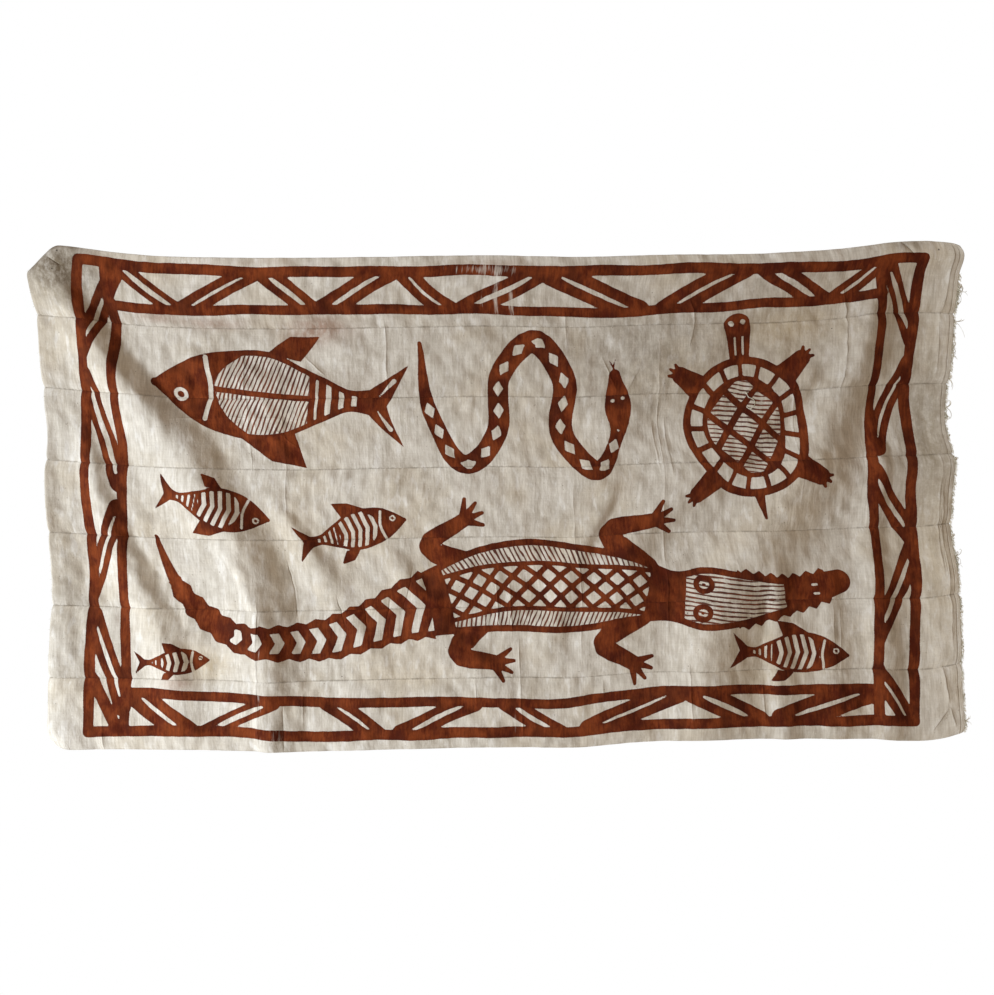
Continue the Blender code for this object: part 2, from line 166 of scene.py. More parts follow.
# The hanging folds: route as (across, down), height, and how wide the left and the right flank are.
folds = [
    dict(height=0.024, left=0.090, right=0.060,  # left swag
         route=[(0.015, -0.010), (0.075, 0.118), (0.149, 0.224), (0.214, 0.300), (0.266, 0.388),
                (0.310, 0.490), (0.335, 0.640), (0.340, 0.800)]),
    dict(height=0.014, left=0.050, right=0.038,  # left second ridge
         route=[(0.045, 0.230), (0.078, 0.350), (0.108, 0.451), (0.155, 0.540), (0.190, 0.620),
                (0.215, 0.760)]),
    dict(height=0.009, left=0.040, right=0.055,  # left margin curl
         route=[(-0.020, 0.180), (-0.010, 0.400), (0.012, 0.600), (0.020, 0.900)]),
    dict(height=0.008, left=0.020, right=0.040,  # left hem ridge
         route=[(0.262, 0.420), (0.318, 0.560), (0.326, 0.700), (0.326, 0.900)]),
    dict(height=0.028, left=0.075, right=0.085,  # right swag
         route=[(1.290, -0.030), (1.252, 0.092), (1.212, 0.215), (1.142, 0.335), (1.076, 0.440),
                (1.010, 0.530), (0.985, 0.640), (0.985, 0.860)]),
    dict(height=0.017, left=0.060, right=0.050,  # right second ridge
         route=[(1.240, 0.090), (1.150, 0.200), (1.052, 0.290), (0.964, 0.350), (0.906, 0.412),
                (0.862, 0.490), (0.830, 0.620)]),
    dict(height=0.010, left=0.050, right=0.042,  # right third ridge
         route=[(1.180, 0.020), (1.070, 0.090), (0.995, 0.150), (0.898, 0.228), (0.842, 0.290),
                (0.790, 0.400)]),
    dict(height=0.009, left=0.026, right=0.034,  # right lower ridge
         route=[(1.098, 0.440), (1.095, 0.560), (1.102, 0.700), (1.105, 0.860)]),
    dict(height=0.006, left=0.030, right=0.036,  # right hem ridge
         route=[(1.180, 0.450), (1.178, 0.600), (1.186, 0.860)]),
    dict(height=0.011, left=0.034, right=0.036,  # right border ridge
         route=[(1.258, 0.220), (1.262, 0.330), (1.246, 0.460), (1.260, 0.640), (1.262, 0.860)]),
    dict(height=0.016, left=0.072, right=0.060,  # right margin flare
         route=[(1.385, -0.200), (1.374, 0.060), (1.380, 0.240), (1.368, 0.430), (1.376, 0.640),
                (1.380, 0.950)]),
    dict(height=0.006, left=0.050, right=0.045,  # upper left sag
         route=[(0.180, 0.120), (0.270, 0.170), (0.390, 0.200), (0.560, 0.205)]),
    dict(height=0.007, left=0.045, right=0.030,  # middle left ridge
         route=[(0.330, 0.340), (0.390, 0.430), (0.440, 0.520), (0.520, 0.640)]),
    dict(height=0.006, left=0.050, right=0.040,  # middle ridge
         route=[(0.500, 0.400), (0.560, 0.520), (0.640, 0.620), (0.760, 0.690)]),
    dict(height=0.008, left=0.040, right=0.030,  # middle right ridge
         route=[(0.880, 0.330), (0.812, 0.430), (0.772, 0.520), (0.730, 0.640)]),
]


# Formula: height times a fade at both ends times a cosine bump of the distance to the route over
# the flank's width. The flanks start narrow and open out over the first half.
def foldOffset(fold, across, down):
    path = smoothRoute(fold["route"], cloth["routeSamples"])
    total = np.hypot(*np.diff(path, axis=0).T).sum()

    def work(a, d):
        nearest, length, hand = alongPath(a, d, path)
        along = length / total
        start = cloth["foldStartWidth"]
        spread = start + (1.0 - start) * smoothStep(2.0 * along)
        width = np.where(hand > 0.0, fold["right"], fold["left"]) * spread
        fade = smoothStep(along / cloth["foldFadeIn"]) * smoothStep((1.0 - along) / cloth["foldFadeOut"])
        return fold["height"] * fade * cosineBump(nearest / width)

    return onlyNear(across, down, path, max(fold["left"], fold["right"]), 0.0, work)


# Small creases that only this finer cloth carries: route, height, half width, sideways wander.
creaseRows = [
    ([(0.312, 0.505), (0.314, 0.620), (0.316, 0.740)], 0.0032, 0.0036, 0.0010),  # hem pinch
    ([(0.306, 0.135), (0.311, 0.340)], 0.0012, 0.0029, 0.0035),  # upper left wrinkle
    ([(0.322, 0.190), (0.318, 0.300)], 0.0008, 0.0028, 0.0030),  # upper left wrinkle two
    ([(0.521, 0.088), (0.524, 0.222)], 0.0013, 0.0028, 0.0012),  # top middle line
    ([(0.672, 0.480), (0.676, 0.565)], 0.0015, 0.0028, 0.0010),  # middle pinch left
    ([(0.692, 0.484), (0.696, 0.570)], 0.0015, 0.0028, 0.0010),  # middle pinch right
    ([(0.706, 0.560), (0.712, 0.740)], 0.0011, 0.0025, 0.0010),  # middle hem line
    ([(0.797, 0.318), (0.802, 0.470), (0.800, 0.630)], 0.0010, 0.0034, 0.0016),  # long middle line
    ([(0.932, 0.095), (0.935, 0.360), (0.930, 0.645)], 0.0009, 0.0029, 0.0012),  # long right line
    ([(0.962, 0.612), (0.965, 0.722)], 0.0018, 0.0034, 0.0010),  # right hem line
    ([(0.976, 0.060), (0.984, 0.104), (0.976, 0.146)], 0.0018, 0.0029, 0.0026),  # top right pinch
    ([(1.204, 0.048), (1.212, 0.130), (1.205, 0.232)], 0.0022, 0.0032, 0.0024),  # swag crease
    ([(1.349, 0.090), (1.351, 0.205)], 0.0018, 0.0032, 0.0012),  # margin crease top
    ([(1.352, 0.305), (1.350, 0.505)], 0.0016, 0.0031, 0.0014),  # margin crease middle
    ([(1.356, 0.335), (1.357, 0.625)], 0.0014, 0.0028, 0.0016),  # margin crease low
    ([(0.079, 0.676), (0.081, 0.740)], 0.0016, 0.0031, 0.0008),  # left hem line
    ([(1.343, 0.625), (1.350, 0.690)], 0.0022, 0.0034, 0.0008),  # corner fork stem
    ([(1.350, 0.690), (1.321, 0.724)], 0.0020, 0.0032, 0.0008),  # corner fork left
    ([(1.350, 0.690), (1.357, 0.724)], 0.0016, 0.0031, 0.0006),  # corner fork right
    ([(1.284, 0.000), (1.302, 0.021)], -0.0024, 0.0031, 0.0004),  # top right slant
    ([(1.355, -0.004), (1.356, 0.058), (1.349, 0.118)], 0.0024, 0.0035, 0.0010),  # top right fall
    ([(0.032, 0.019), (0.053, 0.030)], -0.0020, 0.0032, 0.0004),  # tip crease
    ([(0.180, 0.243), (0.300, 0.238), (0.420, 0.242)], 0.0006, 0.0035, 0.0020),  # second seam ripple
    ([(0.430, 0.561), (0.560, 0.557), (0.700, 0.562)], 0.0006, 0.0035, 0.0020),  # low seam ripple
    ([(0.395, 0.140), (0.430, 0.178)], 0.0010, 0.0035, 0.0020),  # slant wrinkle one
    ([(0.345, 0.250), (0.392, 0.292)], 0.0009, 0.0034, 0.0020),  # slant wrinkle two
    ([(0.845, 0.150), (0.872, 0.205)], 0.0012, 0.0038, 0.0025),  # slant wrinkle three
    ([(0.905, 0.170), (0.880, 0.212)], 0.0010, 0.0035, 0.0020),  # slant wrinkle four
    ([(0.925, 0.250), (0.929, 0.330)], 0.0010, 0.0025, 0.0010),  # right middle pair
    ([(0.944, 0.240), (0.947, 0.345)], 0.0009, 0.0025, 0.0010),  # right middle pair two
    ([(0.360, 0.448), (0.372, 0.540)], -0.0022, 0.0075, 0.0020),  # fan one
    ([(0.430, 0.500), (0.446, 0.562)], -0.0017, 0.0060, 0.0020),  # fan two
    ([(0.468, 0.508), (0.480, 0.564)], -0.0015, 0.0055, 0.0018),  # fan three
    ([(0.514, 0.500), (0.503, 0.552)], -0.0015, 0.0055, 0.0018),  # fan four
    ([(0.550, 0.462), (0.528, 0.534)], -0.0018, 0.0070, 0.0020),  # fan five
    ([(0.353, 0.662), (0.353, 0.738)], -0.0018, 0.0038, 0.0008),  # hem smear
    ([(0.382, 0.645), (0.381, 0.705)], 0.0010, 0.0025, 0.0008),  # left hem pair
    ([(0.641, 0.625), (0.642, 0.672)], 0.0009, 0.0025, 0.0008),  # middle hem pair
    ([(0.361, 0.200), (0.364, 0.420)], 0.0008, 0.0025, 0.0016),  # long left line
    ([(1.138, 0.165), (1.141, 0.385)], 0.0009, 0.0025, 0.0014),  # right field line
    ([(1.180, 0.525), (1.183, 0.628)], 0.0008, 0.0025, 0.0010),  # low right pair
    ([(1.191, 0.532), (1.192, 0.640)], 0.0008, 0.0025, 0.0010),  # low right pair two
    ([(1.073, 0.650), (1.075, 0.712)], 0.0012, 0.0025, 0.0008),  # low right line
    ([(0.791, 0.080), (0.793, 0.140)], 0.0009, 0.0025, 0.0008),  # top field line
    ([(0.833, 0.635), (0.834, 0.665)], 0.0009, 0.0025, 0.0006),  # low middle line
]
creases = [dict(zip(("route", "height", "half", "wander"), row)) for row in creaseRows]

# The creases' sharp tops, finer than the grid, that the material raises.
creaseTop = dict(reach=0.0058, fade=0.0024, apart=0.0026, half=0.0011, share=0.85, margin=0.009, far=0.010)


# Formula: the distance to a route that wanders sideways as two sine waves, and the height left there,
# which wavers a little and fades at both ends.
def creaseFacts(crease, path, across, down):
    nearest, length, hand = alongPath(across, down, path)
    total = np.hypot(*np.diff(path, axis=0).T).sum()
    signed = np.where(hand > 0.0, nearest, -nearest)
    wave = 0.40 * np.sin(length * 90.0 + path[0, 0] * 900.0) + 0.14 * np.sin(length * 310.0)
    uneven = 0.8 + 0.2 * np.sin(length * 120.0 + path[0, 1] * 700.0)
    fade = smoothStep(length / total / 0.18) * smoothStep((1.0 - length / total) / 0.22)
    return signed - crease["wander"] * wave, crease["height"] * uneven * fade


# Formula: a narrow ridge, its height times e to the power of minus the square of distance over half width.
def creaseOffset(crease, across, down):
    path = smoothRoute(crease["route"], 12)

    def work(a, d):
        off, high = creaseFacts(crease, path, a, d)
        return high * np.exp(-((off / crease["half"]) ** 2))

    return onlyNear(across, down, path, 3.0 * crease["half"] + crease["wander"], 0.0, work)


# Formula: the distance to the nearest crease and its height, which fades with distance and where the
# next crease is as near, so that a line only shows on a crease itself.
def creaseMarks(across, down):
    nearest = np.full(across.shape, creaseTop["far"])
    second = np.full(across.shape, 2.0 * creaseTop["far"])
    high = np.zeros(across.shape)
    for crease in creases:
        path = smoothRoute(crease["route"], 12)
        low, far = np.min(path, axis=0) - creaseTop["margin"], np.max(path, axis=0) + creaseTop["margin"]
        near = (across > low[0]) & (across < far[0]) & (down > low[1]) & (down < far[1])
        if not near.any():
            continue
        off, left = creaseFacts(crease, path, across[near], down[near])
        old = nearest[near]
        closer = np.abs(off) < np.abs(old)
        second[near] = np.where(closer, np.abs(old), np.minimum(second[near], np.abs(off)))
        nearest[near] = np.where(closer, off, old)
        high[near] = np.where(closer, left, high[near])
    high = high * smoothStep((creaseTop["reach"] - np.abs(nearest)) / creaseTop["fade"])
    high = high * smoothStep((second - np.abs(nearest)) / creaseTop["apart"])
    return np.stack([nearest, high, np.zeros(across.shape)], axis=-1)


# Soft unevenness all over, and the puckers that the sewing draws in along each seam.
unevenness = [
    dict(seed=7, waves=24, height=0.00130, longest=0.170, shortest=0.060, spread=1.2),
    dict(seed=8, waves=34, height=0.00072, longest=0.060, shortest=0.018, spread=0.8),
]
puckers = dict(seed=21, perSeam=30, height=0.00085, half=0.0050, reach=0.024, tilt=0.45)


# Formula: the mean of sine waves of seeded lengths and phases, whose directions spread about the way
# across, so that the ridges lie mostly up and down.
def sineNoise(across, down, seed, waves, longest, shortest, spread=9.0):
    dice = np.random.default_rng(seed)
    total = np.zeros(across.shape)
    for _ in range(waves):
        turn = dice.normal(0.0, spread)
        wavelength = shortest * (longest / shortest) ** dice.uniform()
        phase = dice.uniform(0.0, 2.0 * math.pi)
        way = across * math.cos(turn) + down * math.sin(turn)
        total += np.sin(2.0 * math.pi * way / wavelength + phase)
    return total / math.sqrt(waves)


# Formula: along each seam, short ridges that cross it at a slight slant, of seeded places and heights.
def puckerOffset(across, down):
    dice = np.random.default_rng(puckers["seed"])
    total = np.zeros(across.shape)
    for seam in range(1, cloth["strips"]):
        for _ in range(puckers["perSeam"]):
            place = dice.uniform(0.02, cloth["width"] - 0.02)
            reach = puckers["reach"] * dice.uniform(0.5, 1.4)
            middle = seam * cloth["stripHeight"] + dice.uniform(-0.6, 0.6) * reach
            slant = dice.uniform(-1.0, 1.0) * puckers["tilt"] * reach
            height = puckers["height"] * dice.uniform(-0.7, 1.0)
            route = [(place - slant, middle - reach), (place + slant, middle + reach)]
            total += creaseOffset(
                dict(route=route, height=height, half=puckers["half"] * dice.uniform(0.7, 1.3), wander=0.001),
                across,
                down,
            )
    return total


# The upper left tip, which is turned back a little over a soft bend. The bend turns a small corner
# about the hub, in x and z, and lineWay is the way that it slants down. Right of before nothing bends.
turnedTip = dict(
    hub=(-0.6370, -0.0114),
    lineWay=(-0.729, -0.684),
    corner=0.018,
    radius=0.0070,
    before=-0.45,
    liftPlace=(0.025, 0.020),
    lift=0.0145,
    liftRadius=0.095,
)


# Formula: how far the cloth stands in front of the wall plane, the sum of the lean of its top edge, the
# lift at the turned tip, the folds, the creases, the puckers and the unevenness.
def forwardOffset(across, down):
    lean = cloth["topLean"] * (1.0 - np.clip(down / cloth["topLeanDepth"], 0.0, 1.0)) ** 2
    place = turnedTip["liftPlace"]
    fromTip = np.hypot(across - place[0], down - place[1]) / turnedTip["liftRadius"]
    total = lean + turnedTip["lift"] * cosineBump(fromTip)
    for fold in folds:
        total = total + foldOffset(fold, across, down)
    for crease in creases:
        total = total + creaseOffset(crease, across, down)
    total = total + puckerOffset(across, down)
    for part in unevenness:
        noise = sineNoise(
            across, down, part["seed"], part["waves"], part["longest"], part["shortest"], part["spread"]
        )
        total = total + part["height"] * (noise + 0.8)
    return total


# Rounded corners: end of the cloth, top or bottom, radius.
corners = [("right", "top", 0.018), ("left", "bottom", 0.034), ("right", "bottom", 0.008)]


# Formula: near a rounded corner each point moves inwards by the sagitta of an arc, so that the square
# outline becomes a quarter circle.
def roundCorners(across, down):
    newAcross, newDown = across.copy(), down.copy()
    for side, end, radius in corners:
        fromSide = across if side == "left" else cloth["width"] - across
        fromEnd = down if end == "top" else cloth["height"] - down
        p = np.clip(1.0 - fromSide / radius, 0.0, 1.0)
        q = np.clip(1.0 - fromEnd / radius, 0.0, 1.0)
        sideShift = radius * p * (1.0 - np.sqrt(1.0 - q * q / 2.0))
        endShift = radius * q * (1.0 - np.sqrt(1.0 - p * p / 2.0))
        newAcross = newAcross + np.where(side == "left", sideShift, -sideShift)
        newDown = newDown + np.where(end == "top", endShift, -endShift)
    return newAcross, newDown


# Formula: the bend runs level from the right, round a small corner about its hub, and then slanting
# down to the left. Points past it are wound round a cylinder of the bend's radius and then run back.
def turnTipBack(x, y, z):
    radius, line = turnedTip["radius"], turnedTip["lineWay"]
    fromX, fromZ = x - turnedTip["hub"][0], z - turnedTip["hub"][1]
    along = np.clip(fromX * line[0] + fromZ * line[1], 0.0, None)
    away = np.stack([np.minimum(fromX, 0.0) - along * line[0], fromZ - along * line[1]])
    reach = np.hypot(away[0], away[1])
    away = away / np.maximum(reach, 1e-9)
    outside = (fromX * line[1] - fromZ * line[0] > 0.0) | (fromZ > 0.0)
    past = np.clip(reach - turnedTip["corner"], 0.0, None)
    past = np.where(outside & (x < turnedTip["before"]), past, 0.0)
    angle = np.minimum(past, math.pi * radius) / radius
    beyond = np.clip(past - math.pi * radius, 0.0, None)
    shift = radius * np.sin(angle) - beyond - past
    return x + shift * away[0], y + radius * (1.0 - np.cos(angle)), z + shift * away[1]


# Formula: a place of the flat cloth is set between the left and right edge curves and between the top
# and bottom ones, pulled in a little at each seam, and brought forward by the folds.
def hangingPoints(across, down):
    offset = forwardOffset(across, down)
    across, down = roundCorners(across, down)
    left, right = edgeCurve("left", down), edgeCurve("right", down)
    inStrip = np.mod(down / cloth["stripHeight"], 1.0)
    pull = cloth["seamPull"] * np.abs(2.0 * inStrip - 1.0) ** 8
    share = across / cloth["width"]
    x = left + pull + (right - left - 2.0 * pull) * share
    top, bottom = edgeCurve("top", across), edgeCurve("bottom", across)
    z = top + (bottom - top) * down / cloth["height"]
    return np.stack(turnTipBack(x, -offset, z), axis=-1)


# Formula: the cross product of the ways down and across, which points out of the painted face.
def faceNormals(points):
    acrossWay = np.gradient(points, axis=-2)
    downWay = np.gradient(points, axis=-3)
    normals = np.cross(downWay, acrossWay)
    normals /= np.linalg.norm(normals, axis=-1, keepdims=True)
    downWay /= np.linalg.norm(downWay, axis=-1, keepdims=True)
    return normals, downWay


# Paint depths are worked out this far from a shape, and hold there beyond it.
paintFar = 0.012


# Formula: the path's half width at each place less the distance to it, so + inside a stroke.
def strokeField(across, down, path, halves):
    path = np.asarray(path, float)
    sizes = np.hypot(*np.diff(path, axis=0).T)
    lengths = np.concatenate([[0.0], np.cumsum(sizes)])
    halves = np.broadcast_to(np.asarray(halves, float), (len(path),))

    def work(a, d):
        nearest, length, _ = alongPath(a, d, path)
        return np.interp(length, lengths, halves) - nearest

    return onlyNear(across, down, path, halves.max() + paintFar, -paintFar, work)


# Formula: distance to the nearest side of a closed outline, + where a level line from the point
# crosses an odd number of sides.
def insideField(across, down, outline):
    outline = np.asarray(outline, float)

    def work(a, d):
        nearest, _, _ = alongPath(a, d, np.vstack([outline, outline[:1]]))
        odd = np.zeros(a.shape, bool)
        for (x0, y0), (x1, y1) in zip(outline, np.roll(outline, -1, axis=0)):
            if y0 != y1:
                crosses = (y0 > d) != (y1 > d)
                odd ^= crosses & (a < x0 + (d - y0) * (x1 - x0) / (y1 - y0))
        return np.where(odd, nearest, -nearest)

    return onlyNear(across, down, outline, paintFar, -paintFar, work)


# Formula: two families of slanting lines, x/a + y/b and x/a - y/b, each drawn at whole numbers. The
# value is + inside the diamonds between the lines.
def diamondField(x, y, size, lineHalf):
    steep = math.hypot(1.0 / size[0], 1.0 / size[1])
    value = np.full(x.shape, np.inf)
    for sign in (-1.0, 1.0):
        count = x / size[0] + sign * y / size[1]
        value = np.minimum(value, np.abs(count - np.round(count)) / steep - lineHalf)
    return value


# Formula: distance to the nearest of a row of lines at whole steps, less the line's half width.
def betweenBars(x, pitch, lineHalf):
    return np.abs(x / pitch - np.round(x / pitch)) * pitch - lineHalf


# Formula: a point's place and side way at a length along a path, for what grows out of it.
def placeOnPath(path, length, out):
    sizes = np.hypot(*np.diff(path, axis=0).T)
    lengths = np.concatenate([[0.0], np.cumsum(sizes)])
    at = np.array([np.interp(length, lengths, path[:, axis]) for axis in (0, 1)])
    ahead = np.array([np.interp(length + 0.004, lengths, path[:, axis]) for axis in (0, 1)])
    back = np.array([np.interp(length - 0.004, lengths, path[:, axis]) for axis in (0, 1)])
    way = (ahead - back) / np.linalg.norm(ahead - back)
    return at + out * np.array([-way[1], way[0]])


# What is painted so far: how deep inside the paint a point lies, and the finely hatched places.
class paintedSheet:
    def __init__(self, across, down):
        self.across = across
        self.down = down
        self.paint = np.full(across.shape, -paintFar)
        self.hatch = np.full(across.shape, -paintFar)
        self.count = np.zeros(across.shape)

    def cover(self, field):
        self.paint = np.maximum(self.paint, field)

    def leave(self, field):
        self.paint = np.minimum(self.paint, -field)

    def stroke(self, path, halves):
        self.cover(strokeField(self.across, self.down, path, halves))

    def bare(self, path, halves):
        self.leave(strokeField(self.across, self.down, path, halves))

    def hatchIn(self, field, count):
        deeper = field > self.hatch
        self.hatch = np.where(deeper, field, self.hatch)
        self.count = np.where(deeper, count, self.count)
        self.leave(field)


# The painted border, in the flat cloth's own metres: four outer lines, four inner ones, and between
# them slanting legs of two strokes with a thin gap. A route is rows of (across, down). A leg is where its
# gap starts and ends, and half the width of both strokes together.
border = dict(
    outerHalf=0.0080,
    innerHalf=0.0074,
    gapHalf=0.0029,
    lines=[
        dict(name="outer top", half="outerHalf",
             route=[(0.074, 0.017), (0.200, 0.017), (0.300, 0.020), (0.550, 0.021), (0.780, 0.022),
                    (1.030, 0.021), (1.245, 0.026), (1.314, 0.024)]),
        dict(name="outer right", half="outerHalf",
             route=[(1.314, 0.024), (1.312, 0.110), (1.308, 0.180), (1.313, 0.290), (1.309, 0.345),
                    (1.314, 0.430), (1.305, 0.560), (1.300, 0.705)]),
        dict(name="outer bottom", half="outerHalf",
             route=[(0.058, 0.709), (0.185, 0.706), (0.310, 0.708), (0.410, 0.713), (0.530, 0.713),
                    (0.770, 0.712), (0.890, 0.709), (1.140, 0.708), (1.300, 0.705)]),
        dict(name="outer left", half="outerHalf",
             route=[(0.074, 0.017), (0.070, 0.126), (0.060, 0.305), (0.063, 0.424), (0.061, 0.547),
                    (0.058, 0.709)]),
        dict(name="inner top", half="innerHalf",
             route=[(0.114, 0.078), (0.233, 0.080), (0.330, 0.077), (0.550, 0.079), (0.782, 0.082),
                    (0.904, 0.084), (1.026, 0.078), (1.148, 0.075), (1.260, 0.074)]),
        dict(name="inner right", half="innerHalf",
             route=[(1.254, 0.026), (1.261, 0.120), (1.258, 0.200), (1.257, 0.272), (1.248, 0.330),
                    (1.256, 0.424), (1.253, 0.480), (1.248, 0.573), (1.245, 0.700)]),
        dict(name="inner bottom", half="innerHalf",
             route=[(0.114, 0.651), (0.258, 0.655), (0.357, 0.658), (0.457, 0.665), (0.545, 0.665),
                    (0.768, 0.668), (0.892, 0.660), (1.140, 0.660), (1.247, 0.660)]),
        dict(name="inner left", half="innerHalf",
             route=[(0.113, 0.024), (0.118, 0.100), (0.112, 0.198), (0.116, 0.322), (0.110, 0.523),
                    (0.114, 0.600), (0.115, 0.701)]),
    ],
    reach=0.022,
    gapReach=0.006,
    bandEdge=0.005,
    overlap=0.0008,
    gapShape=[0.5, 0.8, 1.0, 1.0, 1.1, 1.0, 1.0, 0.8, 0.5],
    legs=[
        (0.146, 0.028, 0.205, 0.072, 0.0125), (0.239, 0.072, 0.312, 0.030, 0.0150),
        (0.356, 0.030, 0.407, 0.072, 0.0150), (0.446, 0.072, 0.513, 0.030, 0.0175),
        (0.559, 0.030, 0.609, 0.072, 0.0150), (0.661, 0.072, 0.735, 0.032, 0.0160),
        (0.790, 0.034, 0.880, 0.075, 0.0180), (0.959, 0.075, 1.032, 0.031, 0.0175),
        (1.103, 0.031, 1.156, 0.066, 0.0165), (1.203, 0.066, 1.244, 0.036, 0.0130),
        (0.146, 0.663, 0.190, 0.697, 0.0190), (0.253, 0.700, 0.318, 0.669, 0.0125),
        (0.438, 0.674, 0.478, 0.704, 0.0150), (0.550, 0.703, 0.617, 0.676, 0.0150),
        (0.705, 0.677, 0.747, 0.703, 0.0150), (0.832, 0.702, 0.922, 0.669, 0.0165),
        (0.987, 0.670, 1.044, 0.699, 0.0180), (1.123, 0.699, 1.212, 0.670, 0.0195),
        (0.115, 0.057, 0.075, 0.134, 0.0130), (0.072, 0.205, 0.105, 0.320, 0.0130),
        (0.101, 0.398, 0.065, 0.490, 0.0130), (0.071, 0.560, 0.103, 0.650, 0.0140),
        (1.273, 0.053, 1.302, 0.123, 0.0125), (1.301, 0.198, 1.268, 0.282, 0.0130),
        (1.259, 0.355, 1.300, 0.414, 0.0150), (1.302, 0.472, 1.252, 0.565, 0.0145),
        (1.252, 0.648, 1.285, 0.698, 0.0150),
    ],
    solidLegs=[(0.072, 0.646, 0.106, 0.704, 0.0090)],
)


# Formula: each leg is one wide stroke less a thin gap along its middle. Strokes end under the lines, and
# gaps end at the lines' edges, where the distance to each frame is what cuts them.
def paintBorder(sheet):
    paths = {line["name"]: smoothRoute(line["route"], 30) for line in border["lines"]}
    frames = []
    for name in ("outer", "inner"):
        sides = [paths[name + " top"], paths[name + " right"]]
        sides += [paths[name + " bottom"][::-1], paths[name + " left"][::-1]]
        frames.append(insideField(sheet.across, sheet.down, np.vstack(sides)))
    band = np.minimum(frames[0], -frames[1]) + border["bandEdge"]
    clear = np.minimum(frames[0] - border["outerHalf"], -frames[1] - border["innerHalf"]) + border["overlap"]
    for legs, split in ((border["legs"], True), (border["solidLegs"], False)):
        for number, row in enumerate(legs):
            start, end, half = np.array(row[0:2]), np.array(row[2:4]), row[4]
            way = (end - start) / np.hypot(*(end - start))
            out = np.array([-way[1], way[0]])
            middle = (start + end) / 2.0 + 0.0016 * math.sin(5.0 * number + 1.0) * out
            reach = border["reach"] * way
            leg = smoothRoute([start - reach, middle, end + reach], 9)
            sheet.cover(np.minimum(strokeField(sheet.across, sheet.down, leg, half), band))
            if split:
                reach = border["gapReach"] * way
                leg = smoothRoute([start - reach, middle, end + reach], 9)
                gap = border["gapHalf"] * (1.0 + 0.30 * math.sin(4.0 * number + 1.0))
                thin = strokeField(sheet.across, sheet.down, leg, gap * np.array(border["gapShape"]))
                sheet.leave(np.minimum(thin, clear))
    for line in border["lines"]:
        sheet.stroke(paths[line["name"]], border[line["half"]])


# The animals of the middle field, a generic set of the maker's own: a long one seen from above,
# one with a round shell, a striped winding one, and fish. Places are (across, down).
longOne = dict(
    spine=[(0.162, 0.418), (0.196, 0.500), (0.288, 0.566), (0.418, 0.566), (0.560, 0.522), (0.700, 0.494),
           (0.850, 0.500), (0.975, 0.520), (1.090, 0.520), (1.192, 0.500)],
    shape=[(0.00, 0.003), (0.10, 0.013), (0.25, 0.025), (0.38, 0.037), (0.46, 0.052), (0.55, 0.068),
           (0.65, 0.066), (0.735, 0.048), (0.775, 0.039), (0.815, 0.048), (0.87, 0.040), (0.94, 0.025),
           (1.00, 0.018)],
    outline=0.0100,
    tailEnd=0.44,
    bodyStart=0.470,
    bodyEnd=0.740,
    headStart=0.790,
    headEnd=0.925,
    barPitch=0.031,
    barHalf=0.0066,
    bandHalf=0.030,
    bandLine=0.0068,
    lattice=(0.034, 0.030),
    latticeHalf=0.0038,
    hatchPitch=0.0070,
    toothPitch=0.020,
    toothSize=0.0070,
    ridgePitch=0.029,
    ridgeSize=0.0050,
    legs=[(0.500, -1), (0.500, 1), (0.722, -1), (0.722, 1)],
    legRoute=[(0.014, 0.036), (-0.040, 0.084), (0.014, 0.108)],
    legHalf=[0.0190, 0.0155, 0.0110],
    toes=(-50.0, -18.0, 14.0, 46.0),
    toeLength=0.032,
    toeHalf=0.0046,
    eyes=(0.812, 0.022, 0.0095),
)


